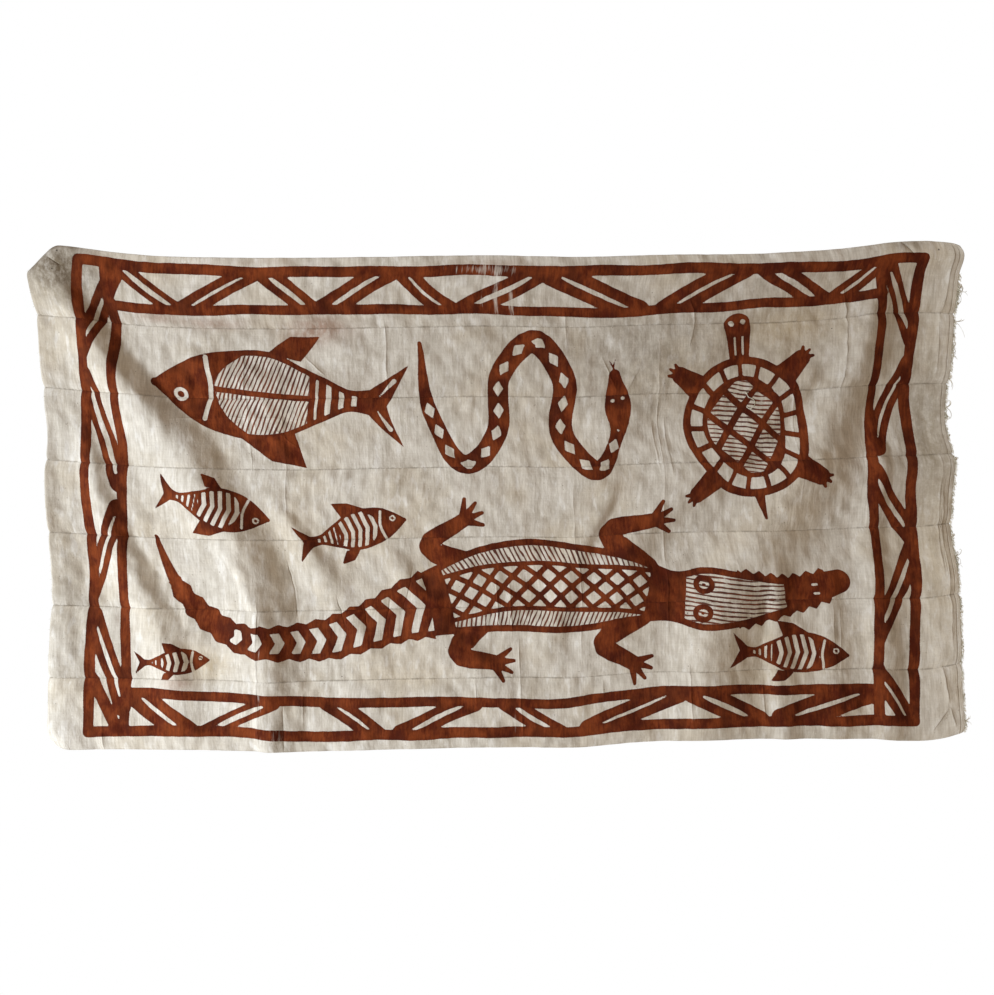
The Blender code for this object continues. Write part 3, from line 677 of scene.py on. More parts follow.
# The long animal: its half width follows a table along the spine. Along and side are the two
# coordinates of all that is drawn on it.
def paintLongOne(sheet):
    one = longOne
    path = smoothRoute(one["spine"], 60)
    total = np.hypot(*np.diff(path, axis=0).T).sum()
    for share, side in one["legs"]:
        route = [placeOnPath(path, share * total + dx, side * out) for dx, out in one["legRoute"]]
        sheet.stroke(smoothRoute(route, 9), np.interp(np.linspace(0, 2, 9), [0, 1, 2], one["legHalf"]))
        foot = route[-1]
        heading = math.atan2(*(np.array(route[-1]) - route[-2])[::-1])
        for toe in one["toes"]:
            turn = heading + math.radians(toe)
            tip = foot + one["toeLength"] * np.array([math.cos(turn), math.sin(turn)])
            sheet.stroke([foot, tip], [one["toeHalf"] * 1.5, one["toeHalf"] * 0.6])
    shape = np.array(one["shape"])
    nearest, length, hand = alongPath(sheet.across, sheet.down, path)
    side = np.where(hand > 0.0, nearest, -nearest)
    share = length / total
    half = curveThrough(shape[:, 0], shape[:, 1], share)
    teeth = np.abs(length / one["toothPitch"] - np.round(length / one["toothPitch"])) * 2.0
    ridges = np.abs(length / one["ridgePitch"] - np.round(length / one["ridgePitch"])) * 2.0
    toothed = half + np.where(share > 0.86, one["toothSize"] * (1.0 - teeth) * (share < 0.985), 0.0)
    onTail = (share < one["tailEnd"]) & (share > 0.06)
    toothed = toothed + np.where(onTail, one["ridgeSize"] * (1.0 - ridges), 0.0)
    body = np.maximum(toothed - nearest, -paintFar)
    sheet.cover(body)
    inside = half - nearest - one["outline"]

    def stretchOf(first, last):
        return np.minimum(length - first * total, last * total - length)

    chevron = length + 0.55 * np.abs(side)
    bars = betweenBars(chevron, one["barPitch"], one["barPitch"] / 2.0 - one["barHalf"])
    sheet.leave(np.minimum(np.minimum(bars, inside + 0.002), stretchOf(0.17, one["tailEnd"])))
    body = np.minimum(inside, stretchOf(one["bodyStart"], one["bodyEnd"]))
    band = np.minimum(body, one["bandHalf"] - np.abs(side))
    sheet.leave(np.minimum(band, diamondField(length, side, one["lattice"], one["latticeHalf"])))
    flank = np.minimum(body, np.abs(side) - one["bandHalf"] - one["bandLine"])
    sheet.hatchIn(flank, (length + 0.35 * np.abs(side)) / one["hatchPitch"])
    head = np.minimum(inside, stretchOf(one["headStart"], one["headEnd"]))
    sheet.hatchIn(head, (side + 0.10 * length) / one["hatchPitch"])
    eyeShare, eyeOut, eyeHalf = one["eyes"]
    for hand in (-1, 1):
        eye = placeOnPath(path, eyeShare * total, hand * eyeOut)
        sheet.stroke([eye, eye + np.array([0.002, 0.0])], eyeHalf + 0.0045)
        sheet.bare([eye, eye + np.array([0.002, 0.0])], eyeHalf * 0.62)
        sheet.stroke([eye, eye + np.array([0.001, 0.0])], eyeHalf * 0.24)
        nostril = placeOnPath(path, 0.965 * total, hand * 0.0065)
        sheet.bare([nostril, nostril + np.array([0.006, 0.0])], 0.0018)


shellOne = dict(
    place=(1.066, 0.262),
    turn=-97.0,
    half=(0.108, 0.092),
    rim=0.0120,
    cellDepth=0.0185,
    cells=17,
    cellLine=0.0038,
    ring=0.0075,
    lattice=(0.058, 0.052),
    latticeHalf=0.0048,
    hatchPitch=0.0070,
    headReach=0.046,
    headHalf=0.0195,
    legs=[(0.066, 0.060, 52.0), (0.066, -0.060, -52.0), (-0.066, 0.060, 126.0), (-0.066, -0.060, -126.0)],
    legReach=0.040,
    legHalf=(0.0190, 0.0130),
    clawReach=0.018,
    clawHalf=0.0038,
    clawTurns=(-34.0, 0.0, 34.0),
    tailReach=0.034,
)


# Formula: the shell is an ellipse, whose depth is (1 - r) r over the length of its slope. Rim, a ring of
# cells by angle, a line, and diamonds follow inwards.
def paintShellOne(sheet):
    one = shellOne
    turn = math.radians(one["turn"])
    forward = np.array([math.cos(turn), math.sin(turn)])
    sideways = np.array([-math.sin(turn), math.cos(turn)])
    place = np.array(one["place"])

    def at(x, y):
        return place + x * forward + y * sideways

    halfLong, halfWide = one["half"]
    for x, y, way in one["legs"]:
        way = math.radians(way)
        foot = (x + one["legReach"] * math.cos(way), y + one["legReach"] * math.sin(way))
        sheet.stroke([at(x, y), at(*foot)], one["legHalf"])
        for claw in one["clawTurns"]:
            tip = way + math.radians(claw)
            end = (foot[0] + one["clawReach"] * math.cos(tip), foot[1] + one["clawReach"] * math.sin(tip))
            sheet.stroke([at(*foot), at(*end)], [one["clawHalf"] * 1.5, one["clawHalf"] * 0.6])
    neck, nose = at(halfLong - 0.01, 0.0), at(halfLong + one["headReach"], 0.0)
    sheet.stroke([neck, nose], [one["headHalf"] * 0.75, one["headHalf"]])
    sheet.stroke([at(-halfLong + 0.01, 0.0), at(-halfLong - one["tailReach"], 0.006)], [0.0085, 0.0020])
    across, down = sheet.across - place[0], sheet.down - place[1]
    x = across * forward[0] + down * forward[1]
    y = across * sideways[0] + down * sideways[1]
    r = np.hypot(x / halfLong, y / halfWide) + 1e-6
    depth = (1.0 - r) * r / (np.hypot(x / halfLong**2, y / halfWide**2) + 1e-6)
    sheet.cover(np.maximum(depth, -paintFar))
    angle = np.arctan2(y / halfWide, x / halfLong) / (2.0 * math.pi) * one["cells"]
    around = 2.0 * math.pi * (halfLong + halfWide) / 2.0 * r / one["cells"]
    cells = (0.5 - np.abs(angle - np.floor(angle) - 0.5)) * around - one["cellLine"]
    ring = np.minimum(depth - one["rim"], one["rim"] + one["cellDepth"] - depth)
    sheet.leave(np.minimum(ring, cells))
    middle = depth - one["rim"] - one["cellDepth"] - one["ring"]
    plates = diamondField(x + one["lattice"][0] / 2.0, y, one["lattice"], one["latticeHalf"])
    sheet.hatchIn(np.minimum(middle, plates), (x + 0.25 * y) / one["hatchPitch"])
    for side in (-1, 1):
        eye = at(halfLong + 0.052, side * 0.0085)
        sheet.bare([eye, eye + np.array([0.001, 0.001])], 0.0034)
    sheet.bare([at(halfLong + 0.004, -0.006), at(halfLong + 0.030, -0.006)], 0.0016)
    sheet.bare([at(halfLong + 0.004, 0.006), at(halfLong + 0.030, 0.006)], 0.0016)


windingOne = dict(
    route=[(0.572, 0.130), (0.586, 0.226), (0.638, 0.312), (0.690, 0.262), (0.694, 0.176), (0.742, 0.128),
           (0.788, 0.180), (0.790, 0.272), (0.834, 0.322), (0.872, 0.266), (0.866, 0.180)],
    shape=[(0.00, 0.003), (0.12, 0.0110), (0.40, 0.0160), (0.80, 0.0155), (0.89, 0.0110),
           (0.940, 0.0195), (1.00, 0.0090)],
    cellPitch=0.034,
    cellHalf=(0.0125, 0.0080),
    tongue=0.024,
)


# Formula: the half width follows a table along the route, less a row of diamonds at even steps.
def paintWindingOne(sheet):
    one = windingOne
    path = smoothRoute(one["route"], 70)
    total = np.hypot(*np.diff(path, axis=0).T).sum()
    nearest, length, hand = alongPath(sheet.across, sheet.down, path)
    shape = np.array(one["shape"])
    half = curveThrough(shape[:, 0], shape[:, 1], length / total)
    sheet.cover(np.maximum(half - nearest, -paintFar))
    count = length / one["cellPitch"]
    along = np.abs(count - np.round(count)) * one["cellPitch"]
    cell = (1.0 - along / one["cellHalf"][0] - nearest / one["cellHalf"][1]) * one["cellHalf"][1] * 0.85
    inBody = np.minimum(length - 0.10 * total, 0.90 * total - length)
    sheet.leave(np.minimum(cell, inBody))
    tip, before = path[-1], path[-4]
    way = (tip - before) / np.linalg.norm(tip - before)
    for turn in (-0.35, 0.35):
        cosine, sine = math.cos(turn), math.sin(turn)
        fork = np.array([way[0] * cosine - way[1] * sine, way[0] * sine + way[1] * cosine])
        split = tip + 0.012 * way
        sheet.stroke([tip, split, split + (one["tongue"] - 0.012) * fork], [0.0016, 0.0014, 0.0009])
    for side in (-1, 1):
        eye = placeOnPath(path, 0.955 * total, side * 0.0075)
        sheet.bare([eye, eye + np.array([0.001, 0.0])], 0.0026)


# Fish: place, length, half height, turn in degrees, and 1 or -1 for the belly's side.
fishes = [
    dict(place=(0.338, 0.202), length=0.330, half=0.066, turn=185.0, flip=1),
    dict(place=(0.262, 0.372), length=0.150, half=0.030, turn=14.0, flip=-1),
    dict(place=(0.470, 0.408), length=0.150, half=0.030, turn=-12.0, flip=1),
    dict(place=(0.190, 0.604), length=0.100, half=0.019, turn=-4.0, flip=1),
    dict(place=(1.124, 0.606), length=0.156, half=0.030, turn=3.0, flip=1),
]
fishShape = [
    (0.00, 0.30), (0.10, 0.24), (0.24, 0.52), (0.45, 0.96), (0.62, 1.00), (0.80, 0.78),
    (0.93, 0.38), (1.00, 0.10),
]


# A fish: tail fan and fins as outlines, a body whose half height follows a table, a solid head
# with an eye, a hatched side and a few bars before the tail.
def paintFish(sheet, fish):
    size = fish["length"]
    turn = math.radians(fish["turn"])
    forward = np.array([math.cos(turn), math.sin(turn)])
    belly = np.array([-math.sin(turn), math.cos(turn)]) * fish["flip"]
    place = np.array(fish["place"])
    half = fish["half"]

    def at(x, y):
        return place + (x - 0.5) * size * forward + y * half * belly

    line = max(0.0045, 0.125 * half)
    fan = [at(0.06, -0.10), at(-0.14, -0.98), at(-0.06, -0.05), at(-0.15, 0.92), at(0.06, 0.14)]
    sheet.cover(insideField(sheet.across, sheet.down, fan))
    fins = [
        [at(0.36, -0.85), at(0.30, -1.62), at(0.46, -1.50), at(0.66, -0.90)],
        [at(0.34, 0.80), at(0.26, 1.40), at(0.40, 1.34), at(0.50, 0.90)],
    ]
    for fin in fins:
        sheet.cover(insideField(sheet.across, sheet.down, fin))
    spine = smoothRoute([at(0.0, 0.0), at(0.5, -0.06), at(1.0, 0.0)], 20)
    total = np.hypot(*np.diff(spine, axis=0).T).sum()
    shape = np.array(fishShape)

    def body(across, down):
        nearest, length, _ = alongPath(across, down, spine)
        share = length / total
        return half * curveThrough(shape[:, 0], shape[:, 1], share) - nearest

    whole = onlyNear(sheet.across, sheet.down, spine, half + paintFar, -paintFar, body)
    sheet.cover(np.maximum(whole, -paintFar))
    across, down = sheet.across - place[0], sheet.down - place[1]
    x = (across * forward[0] + down * forward[1]) / size + 0.5
    y = (across * belly[0] + down * belly[1])
    inside = whole - line
    side = np.minimum((x - 0.30) * size, (0.735 - x) * size - 0.9 * np.abs(y) ** 2 / half)
    side = np.minimum(inside, side)
    pitch = 0.0068 if half > 0.04 else 0.0052
    if half > 0.04:
        back = np.minimum(side, np.abs(y + 0.02 * half) - 0.0045)
        sheet.hatchIn(back, (x * size + 0.35 * y) / pitch)
    else:
        bars = betweenBars(x * size + 0.3 * np.abs(y), 2.0 * pitch + 0.002, 0.0030)
        sheet.leave(np.minimum(side, bars))
    bars = betweenBars(x * size, 0.060 * size, 0.30 * 0.060 * size)
    root = np.minimum(inside, np.minimum((x - 0.06) * size, (0.27 - x) * size))
    sheet.leave(np.minimum(root, bars))
    gill = [at(0.775, -0.70), at(0.752, 0.0), at(0.775, 0.70)]
    sheet.bare(smoothRoute(gill, 7), line * 0.42)
    eye = at(0.885, -0.20)
    sheet.bare([eye, eye + np.array([0.0005, 0.0])], 0.155 * half)
    sheet.stroke([eye, eye + np.array([0.0005, 0.0])], 0.075 * half)
    if half > 0.04:
        for spoke in (-0.55, 0.50):
            sheet.bare([at(-0.02, 0.30 * spoke), at(-0.085, spoke * 1.05)], [0.0006, line * 0.40])


# The unsteady hand of the painter: two sizes of wobble.
handWobble = dict(slow=0.0011, slowLength=(0.200, 0.075), fast=0.00016, fastLength=(0.030, 0.012))


# The wobble moves the place that is looked up, so all lines share one unsteady hand.
def painted(across, down):
    slow, fast = handWobble["slow"], handWobble["fast"]
    shiftAcross = slow * sineNoise(across, down, 31, 8, *handWobble["slowLength"])
    shiftAcross += fast * sineNoise(across, down, 32, 8, *handWobble["fastLength"])
    shiftDown = slow * sineNoise(across, down, 33, 8, *handWobble["slowLength"])
    shiftDown += fast * sineNoise(across, down, 34, 8, *handWobble["fastLength"])
    sheet = paintedSheet(across + shiftAcross, down + shiftDown)
    paintLongOne(sheet)
    paintShellOne(sheet)
    paintWindingOne(sheet)
    for fish in fishes:
        paintFish(sheet, fish)
    paintBorder(sheet)
    return sheet


# Where the paint is rubbed thin: across, down, reach across, reach down and how much.
rubbed = [
    (0.650, 0.020, 0.080, 0.011, 0.66), (0.668, 0.056, 0.004, 0.040, 0.72),
    (0.690, 0.060, 0.009, 0.050, 0.80), (0.712, 0.064, 0.006, 0.050, 0.74),
    (0.718, 0.300, 0.011, 0.090, 0.74), (0.640, 0.300, 0.006, 0.060, 0.45),
    (0.700, 0.700, 0.003, 0.050, 0.80), (0.646, 0.690, 0.004, 0.040, 0.55),
    (0.965, 0.690, 0.007, 0.040, 0.50), (0.318, 0.650, 0.005, 0.100, 0.74),
    (0.344, 0.705, 0.015, 0.045, 0.66), (0.381, 0.690, 0.003, 0.040, 0.70),
    (0.118, 0.215, 0.016, 0.030, 0.28), (0.070, 0.140, 0.016, 0.022, 0.30),
    (0.300, 0.205, 0.050, 0.030, 0.25), (0.600, 0.520, 0.060, 0.040, 0.22),
    (0.850, 0.500, 0.050, 0.040, 0.18), (1.030, 0.240, 0.050, 0.040, 0.20),
    (1.308, 0.300, 0.012, 0.060, 0.16),
]

# Stains of three kinds, in rows of the same five numbers. The soil kind also holds painted shade, and some of
# its rows only darken a patch.
stainsAndShade = dict(
    ochre=[
        (1.128, 0.112, 0.062, 0.034, 0.55), (1.060, 0.600, 0.120, 0.060, 0.22),
        (0.235, 0.606, 0.040, 0.022, 0.50), (0.560, 0.628, 0.060, 0.022, 0.30),
        (0.150, 0.500, 0.030, 0.120, 0.16), (1.345, 0.420, 0.040, 0.300, 0.30),
    ],
    rust=[
        (0.183, 0.091, 0.034, 0.008, 0.50), (0.268, 0.098, 0.046, 0.009, 0.48),
        (0.425, 0.104, 0.046, 0.020, 0.62), (0.395, 0.122, 0.030, 0.014, 0.34),
        (0.195, 0.637, 0.022, 0.010, 0.50), (0.690, 0.012, 0.070, 0.007, 0.30),
        (0.340, 0.006, 0.060, 0.006, 0.22), (0.100, 0.008, 0.020, 0.006, 0.24),
    ],
    soilAndShade=[
        # The first row is painted shade on the turned-back upper left tip, with some soil.
        (0.046, 0.034, 0.060, 0.050, 0.95), (0.034, 0.520, 0.040, 0.110, 0.26),
        (0.350, 0.715, 0.012, 0.034, 0.40), (0.020, 0.300, 0.030, 0.260, 0.12),
        # The second row on this line and the first rows on the next two darken patches: the right margin's
        # middle and the field right of the middle near the top.
        (0.300, 0.140, 0.100, 0.030, 0.10), (1.335, 0.290, 0.045, 0.120, 0.50),
        (0.920, 0.170, 0.100, 0.080, 0.22), (1.290, 0.004, 0.030, 0.007, 0.45),
        (0.960, 0.130, 0.340, 0.090, 0.20), (0.640, 0.640, 0.120, 0.014, 0.10),
    ],
)


# Formula: a soft spot, the amount times e to the power of minus the square of distance over reach.
def spotAt(across, down, spot):
    spotAcross, spotDown, reachAcross, reachDown, amount = spot
    x = (across - spotAcross) / reachAcross
    y = (down - spotDown) / reachDown
    return amount * np.exp(-(x * x + y * y))


# All that the cloth's materials read at a flat place: paint, rubbing, stains with some painted shade, and
# creases.
def surfaceFacts(across, down):
    sheet = painted(across, down)
    rub = sum(spotAt(across, down, spot) for spot in rubbed)
    marks = [sum(spotAt(across, down, spot) for spot in spots) for spots in stainsAndShade.values()]
    paint = np.stack([sheet.paint, sheet.hatch, sheet.count], axis=-1)
    marks = np.clip(np.stack(marks, axis=-1), 0.0, 1.0)
    rub = np.clip(rub, 0.0, 0.95)
    return dict(paint=paint, rubbed=rub, stainsAndShade=marks, creased=creaseMarks(across, down))


# A mesh from whole arrays: quads first, shaded smooth, and then faces of any other count.
def makeMesh(name, points, quads, others=()):
    mesh = bpy.data.meshes.new(name)
    faces = np.asarray(quads, np.int32)
    mesh.vertices.add(len(points))
    mesh.vertices.foreach_set("co", np.asarray(points, np.float32).ravel())
    sizes = np.concatenate([np.full(len(faces), 4), [len(other) for other in others]]).astype(np.int32)
    corners = np.concatenate([faces.ravel(), *[np.asarray(other) for other in others]]).astype(np.int32)
    mesh.loops.add(len(corners))
    mesh.loops.foreach_set("vertex_index", corners)
    mesh.polygons.add(len(sizes))
    mesh.polygons.foreach_set("loop_start", (np.cumsum(sizes) - sizes).astype(np.int32))
    mesh.polygons.foreach_set("use_smooth", np.arange(len(sizes)) < len(faces))
    mesh.update(calc_edges=True)
    mesh.validate()
    return mesh


# Facts for each point, which the materials read by name.
def storeVector(mesh, name, values):
    layer = mesh.attributes.new(name, "FLOAT_VECTOR", "POINT")
    layer.data.foreach_set("vector", np.asarray(values, np.float32).ravel())


def storeNumber(mesh, name, values):
    layer = mesh.attributes.new(name, "FLOAT", "POINT")
    layer.data.foreach_set("value", np.asarray(values, np.float32).ravel())


# A piece of the visual: it rides on the root and has a slot.
def placeObject(name, mesh, materials):
    piece = bpy.data.objects.new(name, mesh)
    bpy.context.scene.collection.objects.link(piece)
    for material in materials:
        mesh.materials.append(material)
    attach(piece, "root")
    return piece


# Which strip and side a point is on: + the strip's number on the painted face, - on the back.
def flatPlace(across, down, strip, side):
    return np.stack([across, down, np.broadcast_to(strip * side, across.shape)], axis=-1)


# The grid that a strip is worked out on.
weaveGrid = dict(
    columns=640,
    rows=50,
    backEvery=3,
    selvedge=[(0.97, 0.89), (0.0, 1.0), (-0.94, 0.82)],
    seamGap=0.00008,
)


# Formula: a flat tube. Its section runs down the face, round the lower selvedge, up the back and round
# the upper selvedge, half the thickness from the middle surface everywhere.
def clothTube(strip, acrossPlaces):
    half = cloth["thickness"] / 2.0
    inset = weaveGrid["seamGap"] / 2.0 + half
    start, end = (strip - 1) * cloth["stripHeight"] + inset, strip * cloth["stripHeight"] - inset
    downPlaces = np.linspace(start, end, weaveGrid["rows"])
    across, down = np.meshgrid(acrossPlaces, downPlaces)
    middle = hangingPoints(across, down)
    normals, downWays = faceNormals(middle)
    backRows = np.arange(weaveGrid["rows"] - 1, -1, -weaveGrid["backEvery"])
    rows = [(row, 1.0, 0.0, 1.0) for row in range(weaveGrid["rows"])]
    rows += [(weaveGrid["rows"] - 1, rise, reach, 1.0) for rise, reach in weaveGrid["selvedge"]]
    rows += [(row, -1.0, 0.0, -1.0) for row in backRows]
    rows += [(0, -rise, -reach, 1.0) for rise, reach in weaveGrid["selvedge"]]
    index = np.array([row[0] for row in rows])
    out = np.array([row[1] for row in rows])[:, None, None]
    along = np.array([row[2] for row in rows])[:, None, None]
    side = np.array([row[3] for row in rows])[:, None]
    points = middle[index] + half * (out * normals[index] + along * downWays[index])
    return points, across[index], down[index], index, side


# Formula: quads between neighbouring rows and columns of the section loop. Both ends are closed with
# small faces, each between two back rows and the face's rows in front of them.
def tubeFaces(rowCount, columnCount):
    row = np.arange(rowCount)
    column = np.arange(columnCount - 1)
    rowGrid, columnGrid = np.meshgrid(row, column, indexing="ij")
    below = (rowGrid + 1) % rowCount
    a = rowGrid * columnCount + columnGrid
    b = below * columnCount + columnGrid
    quads = np.stack([a, b, b + 1, a + 1], axis=-1).reshape(-1, 4)
    face, every, selvedge = weaveGrid["rows"], weaveGrid["backEvery"], len(weaveGrid["selvedge"])
    backCount = rowCount - face - 2 * selvedge
    closers = [np.arange(face - 1, face + selvedge + 1)]
    closers.append(np.append(np.arange(rowCount - selvedge - 1, rowCount), 0))
    for number in range(backCount - 1):
        last = face - 1 - number * every
        back = face + selvedge + number
        closers.append(np.append(np.arange(last - every, last + 1), [back, back + 1]))
    ends = [(closer * columnCount)[::-1] for closer in closers]
    ends += [closer * columnCount + columnCount - 1 for closer in closers]
    return quads, ends, rowGrid.ravel(), columnGrid.ravel()


# The unrolled layout for finished copies: the face in three stretches, one under the other, then the
# back in three, so that no place is used twice.
layout = dict(stretches=3, bands=6, margin=0.006)


def storeLayout(mesh, across, down, strip, side, rowGrid, columnGrid, columnCount, rowCount):
    stretch = np.minimum(columnGrid * layout["stretches"] // (columnCount - 1), layout["stretches"] - 1)
    facing = side.ravel()[rowGrid] > 0
    band = np.where(facing, stretch, stretch + layout["stretches"])
    corner = np.stack([rowGrid, (rowGrid + 1) % rowCount, (rowGrid + 1) % rowCount, rowGrid], axis=-1)
    columnCorner = np.stack([columnGrid, columnGrid, columnGrid + 1, columnGrid + 1], axis=-1)
    place = columnCorner / (columnCount - 1) * layout["stretches"] - stretch[:, None]
    frontRows = np.count_nonzero(side > 0)
    level = np.where(facing[:, None], corner / frontRows, (corner - frontRows) / (rowCount - frontRows))
    level = np.clip(level, 0.0, 1.0)
    margin = layout["margin"]
    u = margin + (1.0 - 2.0 * margin) * np.clip(place, 0.0, 1.0)
    v = (band[:, None] + margin * 4.0 + (1.0 - 8.0 * margin) * level) / layout["bands"]
    loops = np.zeros((len(mesh.loops), 2), np.float32)
    count = 4 * len(rowGrid)
    loops[:count, 0], loops[:count, 1] = u.ravel(), v.ravel()
    loops[count:] = (0.001, 0.001)
    mesh.uv_layers.new(name="OFBake").data.foreach_set("uv", loops.ravel())


# Mesh tools for threads: a tube of few sides carried along a path.
# Formula: each ring is the path's point plus its radius times the cosine and sine of the side's angle
# on two directions square to the path.
def threadTubes(paths, radii, sides):
    ways = np.gradient(paths, axis=1)
    ways /= np.linalg.norm(ways, axis=-1, keepdims=True) + 1e-12
    guide = np.where(np.abs(ways[..., 1:2]) < 0.8, [[[0.0, 1.0, 0.0]]], [[[1.0, 0.0, 0.0]]])
    first = np.cross(ways, guide)
    first /= np.linalg.norm(first, axis=-1, keepdims=True)
    second = np.cross(ways, first)
    turns = np.arange(sides) * 2.0 * math.pi / sides
    ring = np.cos(turns)[:, None] * first[:, :, None, :] + np.sin(turns)[:, None] * second[:, :, None, :]
    points = paths[:, :, None, :] + radii[:, :, None, None] * ring
    threads, steps = paths.shape[:2]
    base = np.arange(threads)[:, None, None] * steps * sides
    step = np.arange(steps - 1)[None, :, None] * sides
    side = np.arange(sides)[None, None, :]
    after = (side + 1) % sides
    a, b = base + step + side, base + step + after
    quads = np.stack([a, b, b + sides, a + sides], axis=-1).reshape(-1, 4)
    starts = (base[:, 0, 0][:, None] + np.arange(sides)[::-1])
    ends = (base[:, 0, 0][:, None] + (steps - 1) * sides + np.arange(sides))
    if sides == 4:
        return points.reshape(-1, 3), np.concatenate([quads, starts, ends]), []
    return points.reshape(-1, 3), quads, [*starts, *ends]


# Shader helpers. A value is either a number or a socket to link.
def feed(tree, made, inputs):
    for name, value in inputs.items():
        if isinstance(value, bpy.types.NodeSocket):
            tree.links.new(value, made.inputs[name])
        else:
            made.inputs[name].default_value = value
    return made


def addNode(tree, kind, inputs=None, **settings):
    made = tree.nodes.new(kind)
    for name, value in settings.items():
        setattr(made, name, value)
    return feed(tree, made, inputs or {})


def calc(tree, operation, first, second=0.0, third=0.0, clamp=False):
    inputs = {0: first, 1: second, 2: third}
    return addNode(tree, "ShaderNodeMath", inputs, operation=operation, use_clamp=clamp).outputs[0]


def mixed(tree, factor, first, second):
    made = addNode(tree, "ShaderNodeMix", {0: factor, 6: first, 7: second}, data_type="RGBA")
    return made.outputs[2]


def parts(tree, value):
    return addNode(tree, "ShaderNodeSeparateXYZ", {0: value}).outputs


def ramped(tree, value, low, high, start=0.0, end=1.0, smooth=True):
    made = addNode(
        tree,
        "ShaderNodeMapRange",
        {"Value": value, "From Min": low, "From Max": high, "To Min": start, "To Max": end},
        interpolation_type="SMOOTHSTEP" if smooth else "LINEAR",
        clamp=True,
    )
    return made.outputs["Result"]


def stretchedNoise(tree, vector, scale, detail=2.0, rough=0.5, shift=(0.0, 0.0, 0.0)):
    scaled = addNode(tree, "ShaderNodeVectorMath", {0: vector, 1: scale}, operation="MULTIPLY").outputs[0]
    moved = addNode(tree, "ShaderNodeVectorMath", {0: scaled, 1: shift}, operation="ADD").outputs[0]
    inputs = {"Vector": moved, "Scale": 1.0, "Detail": detail, "Roughness": rough}
    return addNode(tree, "ShaderNodeTexNoise", inputs).outputs["Fac"]


def newGroup(name, inputs, outputs):
    tree = bpy.data.node_groups.new(name, "ShaderNodeTree")
    for label, kind in inputs:
        tree.interface.new_socket(name=label, in_out="INPUT", socket_type=kind)
    for label, kind in outputs:
        tree.interface.new_socket(name=label, in_out="OUTPUT", socket_type=kind)
    return tree, tree.nodes.new("NodeGroupInput").outputs, tree.nodes.new("NodeGroupOutput").inputs


def putOut(tree, result, values):
    for name, value in values.items():
        tree.links.new(value, result[name])
    return tree


def useGroup(tree, group, inputs):
    return addNode(tree, "ShaderNodeGroup", inputs, node_tree=group).outputs


def readFact(tree, name, output="Vector"):
    return addNode(tree, "ShaderNodeAttribute", attribute_name=name).outputs[output]


def newMaterial(name):
    material = bpy.data.materials.new(name)
    material.use_nodes = True
    return material, material.node_tree, material.node_tree.nodes["Principled BSDF"]


# Formula: from the tone a screen shows, 0 to 255, to the light that it stands for.
def tone(red, green, blue):
    shown = np.array([red, green, blue]) / 255.0
    light = np.where(shown <= 0.04045, shown / 12.92, ((shown + 0.055) / 1.055) ** 2.4)
    return (*light.tolist(), 1.0)


numberKind, vectorKind, colourKind = "NodeSocketFloat", "NodeSocketVector", "NodeSocketColor"


# Handspun plain weave: thread height as the product of two sine waves, and uneven thread thickness as
# noise stretched along each thread. The weft runs down the strip, the warp across the cloth.
def buildWeaveGroup():
    tree, given, result = newGroup(
        "handspunWeave",
        [("Flat", vectorKind), ("Thread Pitch", numberKind)],
        [("Height", numberKind), ("Weft Streaks", numberKind),
         ("Warp Streaks", numberKind), ("Slubs", numberKind)],
    )
    flat = given["Flat"]
    split = parts(tree, flat)
    drift = stretchedNoise(tree, flat, (60.0, 60.0, 3.0), detail=1.0)
    turns = calc(tree, "DIVIDE", 6.2832, given["Thread Pitch"])
    weft = calc(tree, "MULTIPLY_ADD", split["X"], turns, calc(tree, "MULTIPLY", drift, 9.0))
    warp = calc(tree, "MULTIPLY_ADD", split["Y"], turns, calc(tree, "MULTIPLY", drift, 7.0))
    weft, warp = calc(tree, "SINE", weft), calc(tree, "SINE", warp)
    threads = calc(tree, "MULTIPLY_ADD", calc(tree, "MULTIPLY", weft, warp), 0.5, 0.5)
    weftStreaks = stretchedNoise(tree, flat, (380.0, 38.0, 5.3), detail=3.0, rough=0.6)
    wideStreaks = stretchedNoise(tree, flat, (120.0, 11.0, 7.7), detail=2.0, rough=0.5, shift=(3.0, 8.0, 1.0))
    warpStreaks = stretchedNoise(tree, flat, (24.0, 640.0, 5.3), detail=2.0, rough=0.6)
    slubs = stretchedNoise(tree, flat, (430.0, 60.0, 9.1), detail=1.0, shift=(9.0, 2.0, 4.0))
    slubs = ramped(tree, slubs, 0.64, 0.76)
    streaks = calc(tree, "MULTIPLY_ADD", wideStreaks, 0.35, calc(tree, "MULTIPLY", weftStreaks, 0.65))
    crumple = stretchedNoise(tree, flat, (66.0, 38.0, 1.3), detail=4.0, rough=0.60, shift=(1.0, 4.0, 2.0))
    high = calc(tree, "MULTIPLY_ADD", weftStreaks, 0.85, calc(tree, "MULTIPLY", threads, 0.24))
    high = calc(tree, "MULTIPLY_ADD", warpStreaks, 0.14, high)
    high = calc(tree, "MULTIPLY_ADD", slubs, 0.45, high)
    high = calc(tree, "MULTIPLY_ADD", crumple, 6.4, high)
    given = {"Height": high, "Weft Streaks": streaks, "Warp Streaks": warpStreaks, "Slubs": slubs}
    return putOut(tree, result, given)


